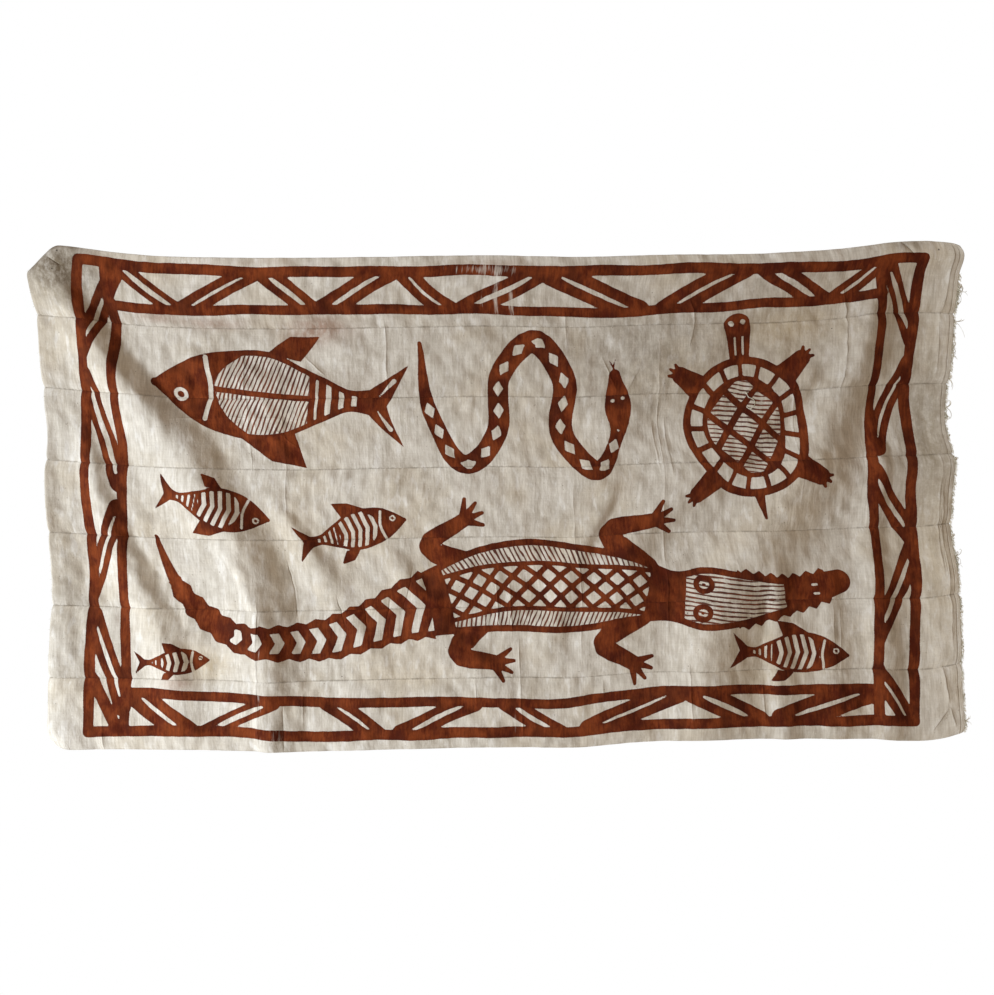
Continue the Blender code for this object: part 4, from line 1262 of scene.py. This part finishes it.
# Mud paint laid on by hand: solid where the edge distance is +, fine lines at whole counts where the
# hatch distance is +, ragged by noise, thinned where rubbed, darker along its rim.
def buildPaintGroup():
    tree, given, result = newGroup(
        "mudPaint",
        [("Flat", vectorKind), ("Paint", vectorKind), ("Rubbed", numberKind), ("Weft Streaks", numberKind)],
        [("Mask", numberKind), ("Rim", numberKind), ("Mottle", numberKind), ("Thickness", numberKind)],
    )
    flat = given["Flat"]
    split = parts(tree, given["Paint"])
    ragged = stretchedNoise(tree, flat, (520.0, 420.0, 2.0), detail=2.0, rough=0.6)
    edge = calc(tree, "MULTIPLY_ADD", calc(tree, "SUBTRACT", ragged, 0.5), 0.0011, split["X"])
    solid = ramped(tree, edge, -0.00030, 0.00034)
    count = split["Z"]
    wander = calc(tree, "SUBTRACT", stretchedNoise(tree, flat, (30.0, 22.0, 1.0), detail=1.0), 0.5)
    count = calc(tree, "MULTIPLY_ADD", wander, 0.75, count)
    off = calc(tree, "ABSOLUTE", calc(tree, "SUBTRACT", count, calc(tree, "ROUND", count)))
    press = stretchedNoise(tree, flat, (70.0, 28.0, 1.0), detail=2.0, shift=(5.0, 1.0, 2.0))
    lineHalf = calc(tree, "MULTIPLY_ADD", press, 0.34, 0.035)
    line = ramped(tree, calc(tree, "SUBTRACT", lineHalf, off), -0.035, 0.055)
    inHatch = ramped(tree, split["Y"], -0.0009, 0.0003)
    pressed = ramped(tree, press, 0.22, 0.40, 0.35, 0.95)
    hatch = calc(tree, "MULTIPLY", calc(tree, "MULTIPLY", line, inHatch), pressed)
    covered = calc(tree, "MAXIMUM", solid, hatch)
    bared = calc(tree, "MULTIPLY_ADD", given["Rubbed"], -0.52, 0.86)
    thin = calc(tree, "SUBTRACT", given["Weft Streaks"], bared)
    worn = ramped(tree, thin, -0.06, 0.12)
    dry = calc(tree, "MULTIPLY", worn, 0.62)
    mask = calc(tree, "MULTIPLY", covered, calc(tree, "SUBTRACT", 1.0, dry))
    rim = ramped(tree, edge, 0.0004, 0.0052, 1.0, 0.0)
    clouds = stretchedNoise(tree, flat, (34.0, 26.0, 1.0), detail=4.0, rough=0.6, shift=(2.0, 7.0, 0.0))
    grain = stretchedNoise(tree, flat, (300.0, 60.0, 3.0), detail=2.0, rough=0.6)
    mottle = calc(tree, "MULTIPLY_ADD", clouds, 0.72, calc(tree, "MULTIPLY", grain, 0.28))
    coat = stretchedNoise(tree, flat, (24.0, 17.0, 1.0), detail=3.0, rough=0.55, shift=(9.0, 3.0, 1.0))
    return putOut(tree, result, {"Mask": mask, "Rim": rim, "Mottle": mottle, "Thickness": coat})


# Where the cloth was pinned up, and a few dark flecks: across, down and size.
pinHoles = [
    (0.0450, 0.0090, 0.0012), (0.0390, 0.0360, 0.0012), (1.3350, 0.0120, 0.0013),
    (0.9600, 0.5420, 0.0011), (0.5700, 0.1760, 0.0009), (1.1900, 0.1190, 0.0009), (0.4400, 0.6240, 0.0009),
]


# The few tones of age that no stain has: thick threads, rubbed patches and pin holes.
ageTones = dict(slub=(1.0, 0.98, 0.94, 1.0), pale=(0.90, 0.88, 0.84, 1.0), hole=tone(46, 36, 28))


# Age: the bare cotton's tone with streaks, blotches, specks, seams darkened by soil and painted shade, and
# the table's stains, whose soil kind holds painted shade too.
def buildAgeGroup():
    tree, given, result = newGroup(
        "agedCotton",
        [("Flat", vectorKind), ("Stains And Shade", vectorKind), ("Weft Streaks", numberKind),
         ("Warp Streaks", numberKind), ("Slubs", numberKind), ("Clean", colourKind), ("Grey", colourKind),
         ("Ochre", colourKind), ("Rust", colourKind), ("Soil And Shade", colourKind)],
        [("Color", colourKind)],
    )
    flat = given["Flat"]
    marks = parts(tree, given["Stains And Shade"])
    streak = ramped(tree, given["Weft Streaks"], 0.34, 0.62, 0.0, 1.0, smooth=False)
    base = mixed(tree, calc(tree, "MULTIPLY_ADD", streak, -0.56, 0.56), given["Clean"], given["Grey"])
    warp = ramped(tree, given["Warp Streaks"], 0.34, 0.62, 0.14, 0.0, smooth=False)
    base = mixed(tree, warp, base, given["Grey"])
    base = mixed(tree, calc(tree, "MULTIPLY", given["Slubs"], 0.16), base, ageTones["slub"])
    blotch = stretchedNoise(tree, flat, (9.0, 9.0, 0.3), detail=4.0, rough=0.6)
    base = mixed(tree, ramped(tree, blotch, 0.42, 0.70, 0.0, 0.26), base, given["Ochre"])
    soilAndShade = stretchedNoise(tree, flat, (42.0, 30.0, 0.5), detail=4.0, rough=0.65, shift=(4.0, 1.0, 0.0))
    base = mixed(tree, ramped(tree, soilAndShade, 0.46, 0.70, 0.0, 0.38), base, given["Grey"])
    pale = stretchedNoise(tree, flat, (95.0, 34.0, 0.5), detail=3.0, rough=0.6, shift=(1.0, 6.0, 3.0))
    base = mixed(tree, ramped(tree, pale, 0.52, 0.70, 0.0, 0.45), base, ageTones["pale"])
    broken = stretchedNoise(tree, flat, (130.0, 90.0, 0.5), detail=3.0, rough=0.7)
    broken = ramped(tree, broken, 0.30, 0.62, 0.45, 1.0)
    # The table's stains: ochre, rust, and soil with painted shade at the turned-back tip.
    for name, part in (("X", "Ochre"), ("Y", "Rust"), ("Z", "Soil And Shade")):
        base = mixed(tree, calc(tree, "MULTIPLY", marks[name], broken, clamp=True), base, given[part])
    speck = addNode(tree, "ShaderNodeTexVoronoi", {"Vector": flat, "Scale": 95.0, "Randomness": 1.0})
    speck = speck.outputs["Distance"]
    rare = stretchedNoise(tree, flat, (11.0, 11.0, 1.0), detail=1.0, shift=(7.0, 7.0, 0.0))
    rare = ramped(tree, rare, 0.46, 0.62)
    speckMask = calc(tree, "MULTIPLY", ramped(tree, speck, 0.05, 0.11, 0.55, 0.0), rare)
    base = mixed(tree, speckMask, base, given["Soil And Shade"])
    # Along each seam, a patchy band of soil and painted shade in the seam's groove.
    split = parts(tree, flat)
    inStrip = calc(tree, "FRACT", calc(tree, "DIVIDE", split["Y"], cloth["stripHeight"]))
    fromSeam = calc(tree, "MINIMUM", inStrip, calc(tree, "SUBTRACT", 1.0, inStrip))
    seamSoilAndShade = ramped(tree, fromSeam, 0.004, 0.020, 0.34, 0.0)
    patchy = stretchedNoise(tree, flat, (55.0, 6.0, 0.0), detail=3.0, rough=0.7)
    patchy = ramped(tree, patchy, 0.40, 0.64, 0.0, 1.0)
    base = mixed(tree, calc(tree, "MULTIPLY", seamSoilAndShade, patchy), base, given["Soil And Shade"])
    level = addNode(tree, "ShaderNodeVectorMath", {0: flat, 1: (1.0, 1.0, 0.0)}, operation="MULTIPLY")
    for across, down, size in pinHoles:
        ends = {0: level.outputs[0], 1: (across, down, 0.0)}
        spot = addNode(tree, "ShaderNodeVectorMath", ends, operation="DISTANCE")
        hole = ramped(tree, spot.outputs["Value"], size * 0.5, size * 1.3, 0.85, 0.0)
        base = mixed(tree, hole, base, ageTones["hole"])
    return putOut(tree, result, {"Color": base})


# A crease's sharp top. Formula: its height over the weave's own depth, times e to the power of minus
# the square of the distance over its half width.
def buildCreaseGroup():
    tree, given, result = newGroup(
        "sharpCrease",
        [("Creased", vectorKind), ("Half Width", numberKind),
         ("Share", numberKind), ("Weave Depth", numberKind)],
        [("Height", numberKind)],
    )
    split = parts(tree, given["Creased"])
    off = calc(tree, "DIVIDE", split["X"], given["Half Width"])
    fall = calc(tree, "EXPONENT", calc(tree, "MULTIPLY", calc(tree, "MULTIPLY", off, off), -1.0))
    high = calc(tree, "DIVIDE", calc(tree, "MULTIPLY", split["Y"], given["Share"]), given["Weave Depth"])
    return putOut(tree, result, {"Height": calc(tree, "MULTIPLY", high, fall)})


creaseGroup = buildCreaseGroup()
weaveGroup = buildWeaveGroup()
paintGroup = buildPaintGroup()
ageGroup = buildAgeGroup()

cottonLook = dict(
    clean=tone(228, 222, 211),
    grey=tone(166, 156, 140),
    ochre=tone(200, 178, 138),
    rust=tone(140, 86, 54),
    # A dark brown for soil, which also paints shade at the turned-back tip and in the seams' grooves, and
    # darkens a few patches.
    soilAndShade=tone(112, 98, 78),
    paintDark=tone(58, 18, 5),
    paintMiddle=tone(90, 31, 8),
    paintLight=tone(134, 63, 27),
    bleed=tone(150, 108, 82),
    threadPitch=0.0011,
    weaveDepth=0.00042,
    bumpStrength=0.70,
    roughBare=0.94,
    roughPaint=0.82,
    sheen=0.03,
    sheenRough=0.6,
    shine=0.12,
)


def finishedCotton(name, look):
    material, tree, shader = newMaterial(name)
    flat, paint, marks = (readFact(tree, fact) for fact in ("flatPlace", "paint", "stainsAndShade"))
    rub = readFact(tree, "rubbed", "Fac")
    weave = useGroup(tree, weaveGroup, {"Flat": flat, "Thread Pitch": look["threadPitch"]})
    age = useGroup(tree, ageGroup, {
        "Flat": flat, "Stains And Shade": marks, "Weft Streaks": weave["Weft Streaks"],
        "Warp Streaks": weave["Warp Streaks"], "Slubs": weave["Slubs"], "Clean": look["clean"],
        "Grey": look["grey"], "Ochre": look["ochre"], "Rust": look["rust"], "Soil And Shade": look["soilAndShade"],
    })
    film = useGroup(tree, paintGroup, {
        "Flat": flat, "Paint": paint, "Rubbed": rub, "Weft Streaks": weave["Weft Streaks"],
    })
    side = ramped(tree, parts(tree, flat)["Z"], -0.05, 0.05)
    shade = mixed(tree, ramped(tree, film["Mottle"], 0.38, 0.60), look["paintMiddle"], look["paintLight"])
    shade = mixed(tree, ramped(tree, weave["Weft Streaks"], 0.62, 0.36, 0.0, 0.34), shade, look["paintDark"])
    shade = mixed(tree, ramped(tree, film["Thickness"], 0.46, 0.66, 0.0, 0.55), shade, look["paintDark"])
    shade = mixed(tree, calc(tree, "MULTIPLY", film["Rim"], 0.24), shade, look["paintDark"])
    front = mixed(tree, film["Mask"], age["Color"], shade)
    seep = calc(tree, "MULTIPLY", film["Mask"], ramped(tree, film["Mottle"], 0.38, 0.62, 0.30, 0.85))
    back = mixed(tree, seep, age["Color"], look["bleed"])
    tree.links.new(mixed(tree, side, back, front), shader.inputs["Base Color"])
    covered, roughBare = calc(tree, "MULTIPLY", film["Mask"], side), look["roughBare"]
    rough = calc(tree, "MULTIPLY_ADD", covered, look["roughPaint"] - roughBare, roughBare)
    rough = calc(tree, "MULTIPLY_ADD", weave["Weft Streaks"], 0.06, rough, clamp=True)
    tree.links.new(rough, shader.inputs["Roughness"])
    height = calc(tree, "MULTIPLY_ADD", film["Mask"], -0.22, weave["Height"])
    crease = useGroup(tree, creaseGroup, {
        "Creased": readFact(tree, "creased"), "Half Width": creaseTop["half"], "Share": creaseTop["share"],
        "Weave Depth": look["weaveDepth"],
    })
    height = calc(tree, "ADD", height, crease["Height"])
    relief = {"Height": height, "Strength": look["bumpStrength"], "Distance": look["weaveDepth"]}
    tree.links.new(addNode(tree, "ShaderNodeBump", relief).outputs["Normal"], shader.inputs["Normal"])
    shader.inputs["Sheen Weight"].default_value = look["sheen"]
    shader.inputs["Sheen Roughness"].default_value = look["sheenRough"]
    shader.inputs["Specular IOR Level"].default_value = look["shine"]
    return material


threadLook = dict(
    light=tone(242, 238, 224), dark=tone(206, 202, 182), rough=0.95, depth=0.00012, sheen=0.15, shine=0.15,
)


# Loose handspun thread: two tones in noise along it, with a twist as fine bump.
def looseThread(name, look):
    material, tree, shader = newMaterial(name)
    place = addNode(tree, "ShaderNodeTexCoord").outputs["Object"]
    fuzz = stretchedNoise(tree, place, (900.0, 900.0, 900.0), detail=2.0)
    cloud = stretchedNoise(tree, place, (60.0, 60.0, 60.0), detail=2.0)
    shade = mixed(tree, ramped(tree, cloud, 0.34, 0.66), look["dark"], look["light"])
    tree.links.new(shade, shader.inputs["Base Color"])
    rough = calc(tree, "MULTIPLY_ADD", fuzz, 0.06, look["rough"] - 0.04)
    tree.links.new(rough, shader.inputs["Roughness"])
    bump = addNode(tree, "ShaderNodeBump", {"Height": fuzz, "Strength": 0.5, "Distance": look["depth"]})
    tree.links.new(bump.outputs["Normal"], shader.inputs["Normal"])
    shader.inputs["Sheen Weight"].default_value = look["sheen"]
    shader.inputs["Specular IOR Level"].default_value = look["shine"]
    return material


cottonMaterial = finishedCotton("paintedCotton", cottonLook)
threadMaterial = looseThread("looseCottonThread", threadLook)
print("materials ready")


# A stretch of one strip with all its facts, and loose threads as a second material where given.
def makeCloth(name, strip, acrossPlaces, extra=None):
    points, across, down, index, side = clothTube(strip, acrossPlaces)
    rowCount, columnCount = points.shape[:2]
    quads, ends, rowGrid, columnGrid = tubeFaces(rowCount, columnCount)
    faceAcross, faceDown = across[: weaveGrid["rows"]], down[: weaveGrid["rows"]]
    facts = {name: values[index] for name, values in surfaceFacts(faceAcross, faceDown).items()}
    place = flatPlace(across, down, strip, side)
    corePoints = points.reshape(-1, 3)
    if extra is None:
        mesh = makeMesh(name, corePoints, quads, ends)
        materials = [cottonMaterial]
    else:
        more, moreQuads = extra
        allQuads = np.concatenate([quads, moreQuads + len(corePoints)])
        mesh = makeMesh(name, np.concatenate([corePoints, more]), allQuads, ends)
        kinds = np.zeros(len(mesh.polygons), np.int32)
        kinds[len(quads): len(quads) + len(moreQuads)] = 1
        materials = [cottonMaterial, threadMaterial]
    spare = len(mesh.vertices) - len(corePoints)
    storeVector(mesh, "flatPlace", np.concatenate([place.reshape(-1, 3), np.zeros((spare, 3))]))
    unpainted = np.full((spare, 3), -paintFar)
    storeVector(mesh, "paint", np.concatenate([facts["paint"].reshape(-1, 3), unpainted]))
    storeNumber(mesh, "rubbed", np.concatenate([facts["rubbed"].ravel(), np.zeros(spare)]))
    for kind in ("stainsAndShade", "creased"):
        storeVector(mesh, kind, np.concatenate([facts[kind].reshape(-1, 3), np.zeros((spare, 3))]))
    if extra is None:
        storeLayout(mesh, across, down, strip, side, rowGrid, columnGrid, columnCount, rowCount)
    piece = placeObject(name, mesh, materials)
    if extra is not None:
        mesh.polygons.foreach_set("material_index", kinds)
    return piece


# Loose threads at the right end: strip, place down the strip, reach, drop, thickness and turns of curl.
hangingThreads = [
    (1, 0.068, 0.0120, 0.0060, 0.0022, 1.10), (1, 0.074, 0.0100, 0.0150, 0.0020, 0.90),
    (1, 0.092, 0.0035, 0.0030, 0.0014, 0.50), (2, 0.011, 0.0060, 0.0150, 0.0014, 0.30),
    (2, 0.050, 0.0120, 0.0040, 0.0012, 0.80), (2, 0.058, 0.0050, 0.0080, 0.0014, 1.30),
    (2, 0.098, 0.0040, 0.0050, 0.0018, 0.60), (3, 0.036, 0.0110, 0.0040, 0.0014, 0.70),
    (3, 0.044, 0.0060, 0.0090, 0.0020, 1.10), (3, 0.080, 0.0030, 0.0030, 0.0016, 0.60),
    (4, 0.010, 0.0050, 0.0070, 0.0018, 0.90), (4, 0.048, 0.0030, 0.0040, 0.0016, 0.60),
    (5, 0.020, 0.0035, 0.0030, 0.0016, 0.60), (5, 0.049, 0.0110, 0.0020, 0.0018, 0.70),
    (5, 0.056, 0.0060, 0.0070, 0.0018, 1.00), (6, 0.030, 0.0030, 0.0030, 0.0016, 0.60),
    (6, 0.082, 0.0045, 0.0040, 0.0016, 0.90), (7, 0.050, 0.0030, 0.0020, 0.0014, 0.60),
    (7, 0.086, 0.0060, 0.0010, 0.0014, 0.40),
]

fringe = dict(
    bandColumns=6,
    gap=0.00001,
    bareEnd=0.0018,
    cornerBare=0.060,
    fibresPerStrip=240,
    fibreReach=(0.0004, 0.0022),
    fibreHalf=(0.00020, 0.00042),
    strandsPerThread=5,
    strandHalf=0.00042,
    strandSteps=14,
)


# Formula: short fibres run out of the cut end in seeded directions and droop by the square of their
# way. Each hanging thread is a few strands that run out and drop while they wind round in a loop.
def frayThreads(strip):
    dice = np.random.default_rng(100 + strip)
    count, steps = fringe["fibresPerStrip"], fringe["strandSteps"]
    top = (strip - 1) * cloth["stripHeight"]
    down = top + dice.uniform(0.001, cloth["stripHeight"] - 0.001, count)
    down = np.where(down < fringe["cornerBare"], down + fringe["cornerBare"] * 0.7, down)
    across = cloth["width"] - dice.uniform(0.0016, 0.0034, count)
    roots = hangingPoints(across, down)
    reach = dice.uniform(*fringe["fibreReach"], count) * dice.uniform(0.4, 1.0, count)
    turn = dice.normal(0.0, 0.55, count)
    lift = dice.normal(0.0, 0.30, count)
    way = np.stack([np.cos(turn), lift, np.sin(turn)], axis=-1)
    share = np.linspace(0.0, 1.0, steps)[None, :, None]
    full = (reach + 0.0028)[:, None, None]
    paths = roots[:, None, :] + way[:, None, :] * full * share
    droop = dice.uniform(0.1, 1.1, count)[:, None]
    curl = dice.uniform(-1.0, 1.0, (count, 2))
    paths[..., 2] -= droop * full[..., 0] * share[..., 0] ** 2
    paths[..., 2] += curl[:, :1] * 0.0009 * np.sin(share[..., 0] * 5.0)
    paths[..., 1] += curl[:, 1:] * 0.0008 * np.sin(share[..., 0] * 4.0)
    radii = dice.uniform(*fringe["fibreHalf"], count)[:, None] * np.linspace(1.15, 0.55, steps)[None, :]
    rows = [row for row in hangingThreads if row[0] == strip]
    strands, strandRadii = [], []
    for _, placeDown, reachOut, drop, thickness, turns in rows:
        root = hangingPoints(np.array([cloth["width"] - 0.003]), np.array([top + placeDown]))[0]
        spread = thickness * 0.5
        for _ in range(fringe["strandsPerThread"]):
            length = dice.uniform(0.55, 1.10)
            at = np.linspace(0.0, 1.0, steps)
            turn = 2.0 * math.pi * turns * dice.uniform(0.7, 1.2) * at
            loop = 0.30 * (reachOut + drop) * length / max(turns, 0.5)
            hand = -1.0 if dice.uniform() < 0.3 else 1.0
            start = dice.uniform(-0.5, 0.5, 2) * spread
            strand = root[None, :] + np.stack(
                [
                    (0.003 + 0.62 * reachOut * length) * at + loop * np.sin(turn),
                    start[0] + 0.4 * loop * np.sin(0.7 * turn),
                    start[1] - drop * length * at**1.4 + hand * loop * (1.0 - np.cos(turn)),
                ],
                axis=-1,
            )
            strands.append(strand)
            thick = fringe["strandHalf"] * dice.uniform(0.7, 1.2)
            strandRadii.append(thick * np.linspace(1.1, 0.5, steps))
    paths = np.concatenate([paths, np.array(strands)])
    radii = np.concatenate([radii, np.array(strandRadii)])
    paths[..., 0] = np.minimum(paths[..., 0], cadHigh.x + 0.004)
    points, quads, _ = threadTubes(paths, radii, 4)
    return points, quads


stripEnd = cloth["width"] - cloth["frayWidth"] - cloth["gap"]
stripPlaces = np.linspace(0.0, stripEnd, weaveGrid["columns"] + 1)
endPlaces = np.linspace(stripEnd + fringe["gap"], cloth["width"] - fringe["bareEnd"], fringe["bandColumns"])
clothPieces, endPieces = [], []
for strip in range(1, cloth["strips"] + 1):
    piece = makeCloth(f"cottonStrip{strip}", strip, stripPlaces)
    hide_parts(f"strip_{strip}")
    clothPieces.append(piece)
    endPiece = makeCloth(f"frayedEnd{strip}", strip, endPlaces, extra=frayThreads(strip))
    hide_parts(f"fray_{strip}")
    endPieces.append(endPiece)
    print("strip", strip, "of", cloth["strips"], "laid")

# The hand sewing that joins two strips: small slanting stitches over each seam, and the thread that
# runs along behind it.
sewing = dict(
    pitch=0.0066, reach=0.0019, half=0.00022, rise=0.00034, slant=0.0012, sides=4, steps=5, seed=50,
    runStep=0.0025, runHalf=0.00028,
)


# Formula: a stitch dips into the cloth at both ends and stands over the seam as half a sine wave.
def seamStitches(seam):
    dice = np.random.default_rng(sewing["seed"] + seam)
    count = int((stripEnd - 0.006) / sewing["pitch"])
    across = 0.004 + sewing["pitch"] * (np.arange(count) + dice.uniform(-0.22, 0.22, count))
    reach = sewing["reach"] * dice.uniform(0.7, 1.25, count)
    slant = sewing["slant"] * dice.uniform(0.2, 1.5, count)
    share = np.linspace(-1.0, 1.0, sewing["steps"])
    acrossAll = across[:, None] + slant[:, None] * share
    downAll = seam * cloth["stripHeight"] + reach[:, None] * share
    middle = hangingPoints(acrossAll, downAll)
    ahead = hangingPoints(acrossAll + 0.001, downAll)
    lower = hangingPoints(acrossAll, downAll + 0.001)
    normals = np.cross(lower - middle, ahead - middle)
    normals /= np.linalg.norm(normals, axis=-1, keepdims=True)
    above = cloth["thickness"] / 2.0 - 0.00025 + sewing["rise"] * np.cos(share * math.pi / 2.0)
    paths = middle + normals * above[None, :, None]
    radii = np.broadcast_to(sewing["half"] * dice.uniform(0.8, 1.2, count)[:, None], acrossAll.shape)
    points, quads, _ = threadTubes(paths, radii, sewing["sides"])
    runAcross = np.arange(0.0012, cloth["width"] - fringe["bareEnd"] - 0.0004, sewing["runStep"])
    run = hangingPoints(runAcross, np.full(len(runAcross), seam * cloth["stripHeight"]))
    run[:, 1] += cloth["thickness"] / 2.0 - sewing["runHalf"]
    runRadii = np.full((1, len(run)), sewing["runHalf"])
    runPoints, runQuads, _ = threadTubes(run[None], runRadii, sewing["sides"])
    quads = np.concatenate([quads, runQuads + len(points)])
    points = np.concatenate([points, runPoints])
    mesh = makeMesh(f"seamStitches{seam}", points, quads)
    acrossFlat = np.repeat(np.append(acrossAll.ravel(), runAcross), sewing["sides"])
    onSeam = np.full(len(runPoints), seam * cloth["stripHeight"])
    downFlat = np.append(np.repeat(downAll.ravel(), sewing["sides"]), onSeam)
    facts = surfaceFacts(acrossFlat, downFlat)
    storeVector(mesh, "flatPlace", flatPlace(acrossFlat, downFlat, seam + 0.5, 1.0))
    storeNumber(mesh, "rubbed", facts["rubbed"])
    for kind in ("paint", "stainsAndShade"):
        storeVector(mesh, kind, facts[kind])
    return placeObject(mesh.name, mesh, [cottonMaterial])


stitchPieces = [seamStitches(seam) for seam in range(1, cloth["strips"])]
print("seams sewn")

# A stray curl of thread on the face, and a few fibres along the left end.
strayCurl = dict(
    place=(1.072, 0.213),
    route=[(-0.004, -0.004), (0.000, 0.004), (0.006, 0.007), (0.010, 0.013), (0.007, 0.020),
           (0.002, 0.022), (-0.002, 0.019)],
    half=0.00055,
    above=0.0014,
    steps=40,
)


# Formula: a tube along the route, a little in front of the face.
def makeStrayCurl():
    route = smoothRoute(strayCurl["route"], strayCurl["steps"])
    across, down = strayCurl["place"][0] + route[:, 0], strayCurl["place"][1] + route[:, 1]
    middle = hangingPoints(across, down)
    middle[:, 1] -= strayCurl["above"]
    paths = middle[None]
    radii = strayCurl["half"] * (1.0 + 0.2 * np.sin(np.arange(strayCurl["steps"])))[None]
    points, quads, others = threadTubes(paths, radii, 8)
    mesh = makeMesh("strayThread", points, quads, others)
    return placeObject("strayThread", mesh, [threadMaterial])


leftFibres = dict(
    count=60, steps=6, seed=9,
    reach=(0.0010, 0.0040), half=0.00016, nearTip=(0.020, 0.110), below=(0.15, 0.72),
)


# Formula: short fibres that run out of the left end in seeded directions and droop by the square.
def makeLeftFibres():
    dice = np.random.default_rng(leftFibres["seed"])
    count, steps = leftFibres["count"], leftFibres["steps"]
    down = dice.uniform(*leftFibres["nearTip"], count)
    down[: count // 2] = dice.uniform(*leftFibres["below"], count // 2)
    roots = hangingPoints(np.full(count, 0.0006), down)
    reach = dice.uniform(*leftFibres["reach"], count)
    turn = dice.normal(0.0, 0.6, count)
    share = np.linspace(0.0, 1.0, steps)[None, :]
    paths = np.stack(
        [
            roots[:, :1] - reach[:, None] * share * np.cos(turn)[:, None],
            roots[:, 1:2] + 0.0006 * np.sin(4.0 * share + turn[:, None]),
            roots[:, 2:] + reach[:, None] * (share * np.sin(turn)[:, None] - 0.6 * share**2),
        ],
        axis=-1,
    )
    radii = np.broadcast_to(leftFibres["half"] * np.linspace(1.1, 0.6, steps), (count, steps))
    points, quads, _ = threadTubes(paths, radii, 4)
    mesh = makeMesh("leftFibres", points, quads)
    return placeObject("leftFibres", mesh, [threadMaterial])


strayPieces = [makeStrayCurl(), makeLeftFibres()]
for number, piece in enumerate(clothPieces):
    goingWith = [endPieces[number]] + stitchPieces[number : number + 1]
    if number == 0:
        goingWith.append(strayPieces[1])
    if number == 2:
        goingWith.append(strayPieces[0])

# A plain pale floor, well below the picture.
floorLook = dict(
    height=-1.60, radius=1.55, steps=96, tone=tone(232, 230, 226), dust=tone(205, 203, 199), rough=0.8,
)


def makeFloor():
    turns = np.linspace(0.0, 2.0 * math.pi, floorLook["steps"], endpoint=False)
    rim = np.stack([np.cos(turns), np.sin(turns), np.zeros_like(turns)], axis=-1) * floorLook["radius"]
    rim[:, 2] = floorLook["height"]
    mesh = bpy.data.meshes.new("floor")
    mesh.from_pydata(rim.tolist(), [], [list(range(floorLook["steps"]))])
    floor = bpy.data.objects.new("floor", mesh)
    bpy.context.scene.collection.objects.link(floor)
    material, tree, shader = newMaterial("paleFloor")
    place = addNode(tree, "ShaderNodeTexCoord").outputs["Object"]
    grain = stretchedNoise(tree, place, (6.0, 6.0, 6.0), detail=4.0)
    shade = mixed(tree, ramped(tree, grain, 0.3, 0.7, 0.0, 0.08), floorLook["tone"], floorLook["dust"])
    tree.links.new(shade, shader.inputs["Base Color"])
    shader.inputs["Roughness"].default_value = floorLook["rough"]
    mesh.materials.append(material)


makeFloor()

# Soft studio light: a large lamp at the left, a weaker one for the back, and a dim even fill.
studio = dict(
    key=dict(place=(-1.80, -1.22, -1.10), size=0.70, watts=46.5, colour=(0.83, 0.915, 1.0)),
    back=dict(place=(1.50, 2.10, 0.70), size=1.20, watts=40.0, colour=(1.0, 0.98, 0.95)),
    aim=(0.0, 0.0, -0.36),
    fill=(0.366, 0.297, 0.235),
    sky=(1.0, 1.0, 1.0),
)


def addLamp(name, settings):
    lamp = bpy.data.lights.new(name, "AREA")
    lamp.shape = "DISK"
    lamp.size = settings["size"]
    lamp.energy = settings["watts"]
    lamp.color = settings["colour"]
    holder = bpy.data.objects.new(name, lamp)
    bpy.context.scene.collection.objects.link(holder)
    place = np.array(settings["place"])
    holder.location = place
    way = Vector(np.array(studio["aim"]) - place)
    holder.rotation_euler = way.to_track_quat("-Z", "Y").to_euler()


addLamp("keyLamp", studio["key"])
addLamp("backLamp", studio["back"])

world = bpy.data.worlds.new("studioWorld")
bpy.context.scene.world = world
world.use_nodes = True
sky = world.node_tree
sky.nodes.clear()
fill = addNode(sky, "ShaderNodeBackground", {"Color": (*studio["fill"], 1.0), "Strength": 1.0})
seen = addNode(sky, "ShaderNodeBackground", {"Color": (*studio["sky"], 1.0), "Strength": 1.0})
path = addNode(sky, "ShaderNodeLightPath")
chosen = {0: path.outputs["Is Camera Ray"], 1: fill.outputs[0], 2: seen.outputs[0]}
both = addNode(sky, "ShaderNodeMixShader", chosen)
addNode(sky, "ShaderNodeOutputWorld", {"Surface": both.outputs[0]})

# The camera looks at the cloth face on. The photograph's frame is 994 by 995.
photoView = dict(
    metresPerPixel=0.001464, frameWidth=994, middle=(0.0, -0.355), faceDepth=-0.012, lens=60.0, sensor=36.0,
)
frameMetres = photoView["metresPerPixel"] * photoView["frameWidth"]
distance = frameMetres * photoView["lens"] / photoView["sensor"]
cameraData = bpy.data.cameras.new("photoCamera")
cameraData.lens = photoView["lens"]
cameraData.sensor_width = photoView["sensor"]
cameraData.dof.use_dof = False
camera = bpy.data.objects.new("photoCamera", cameraData)
bpy.context.scene.collection.objects.link(camera)
camera.location = (photoView["middle"][0], photoView["faceDepth"] - distance, photoView["middle"][1])
camera.rotation_euler = (math.radians(90.0), 0.0, 0.0)
bpy.context.scene.camera = camera
bpy.context.scene.view_settings.view_transform = "Standard"

bpy.context.view_layer.update()
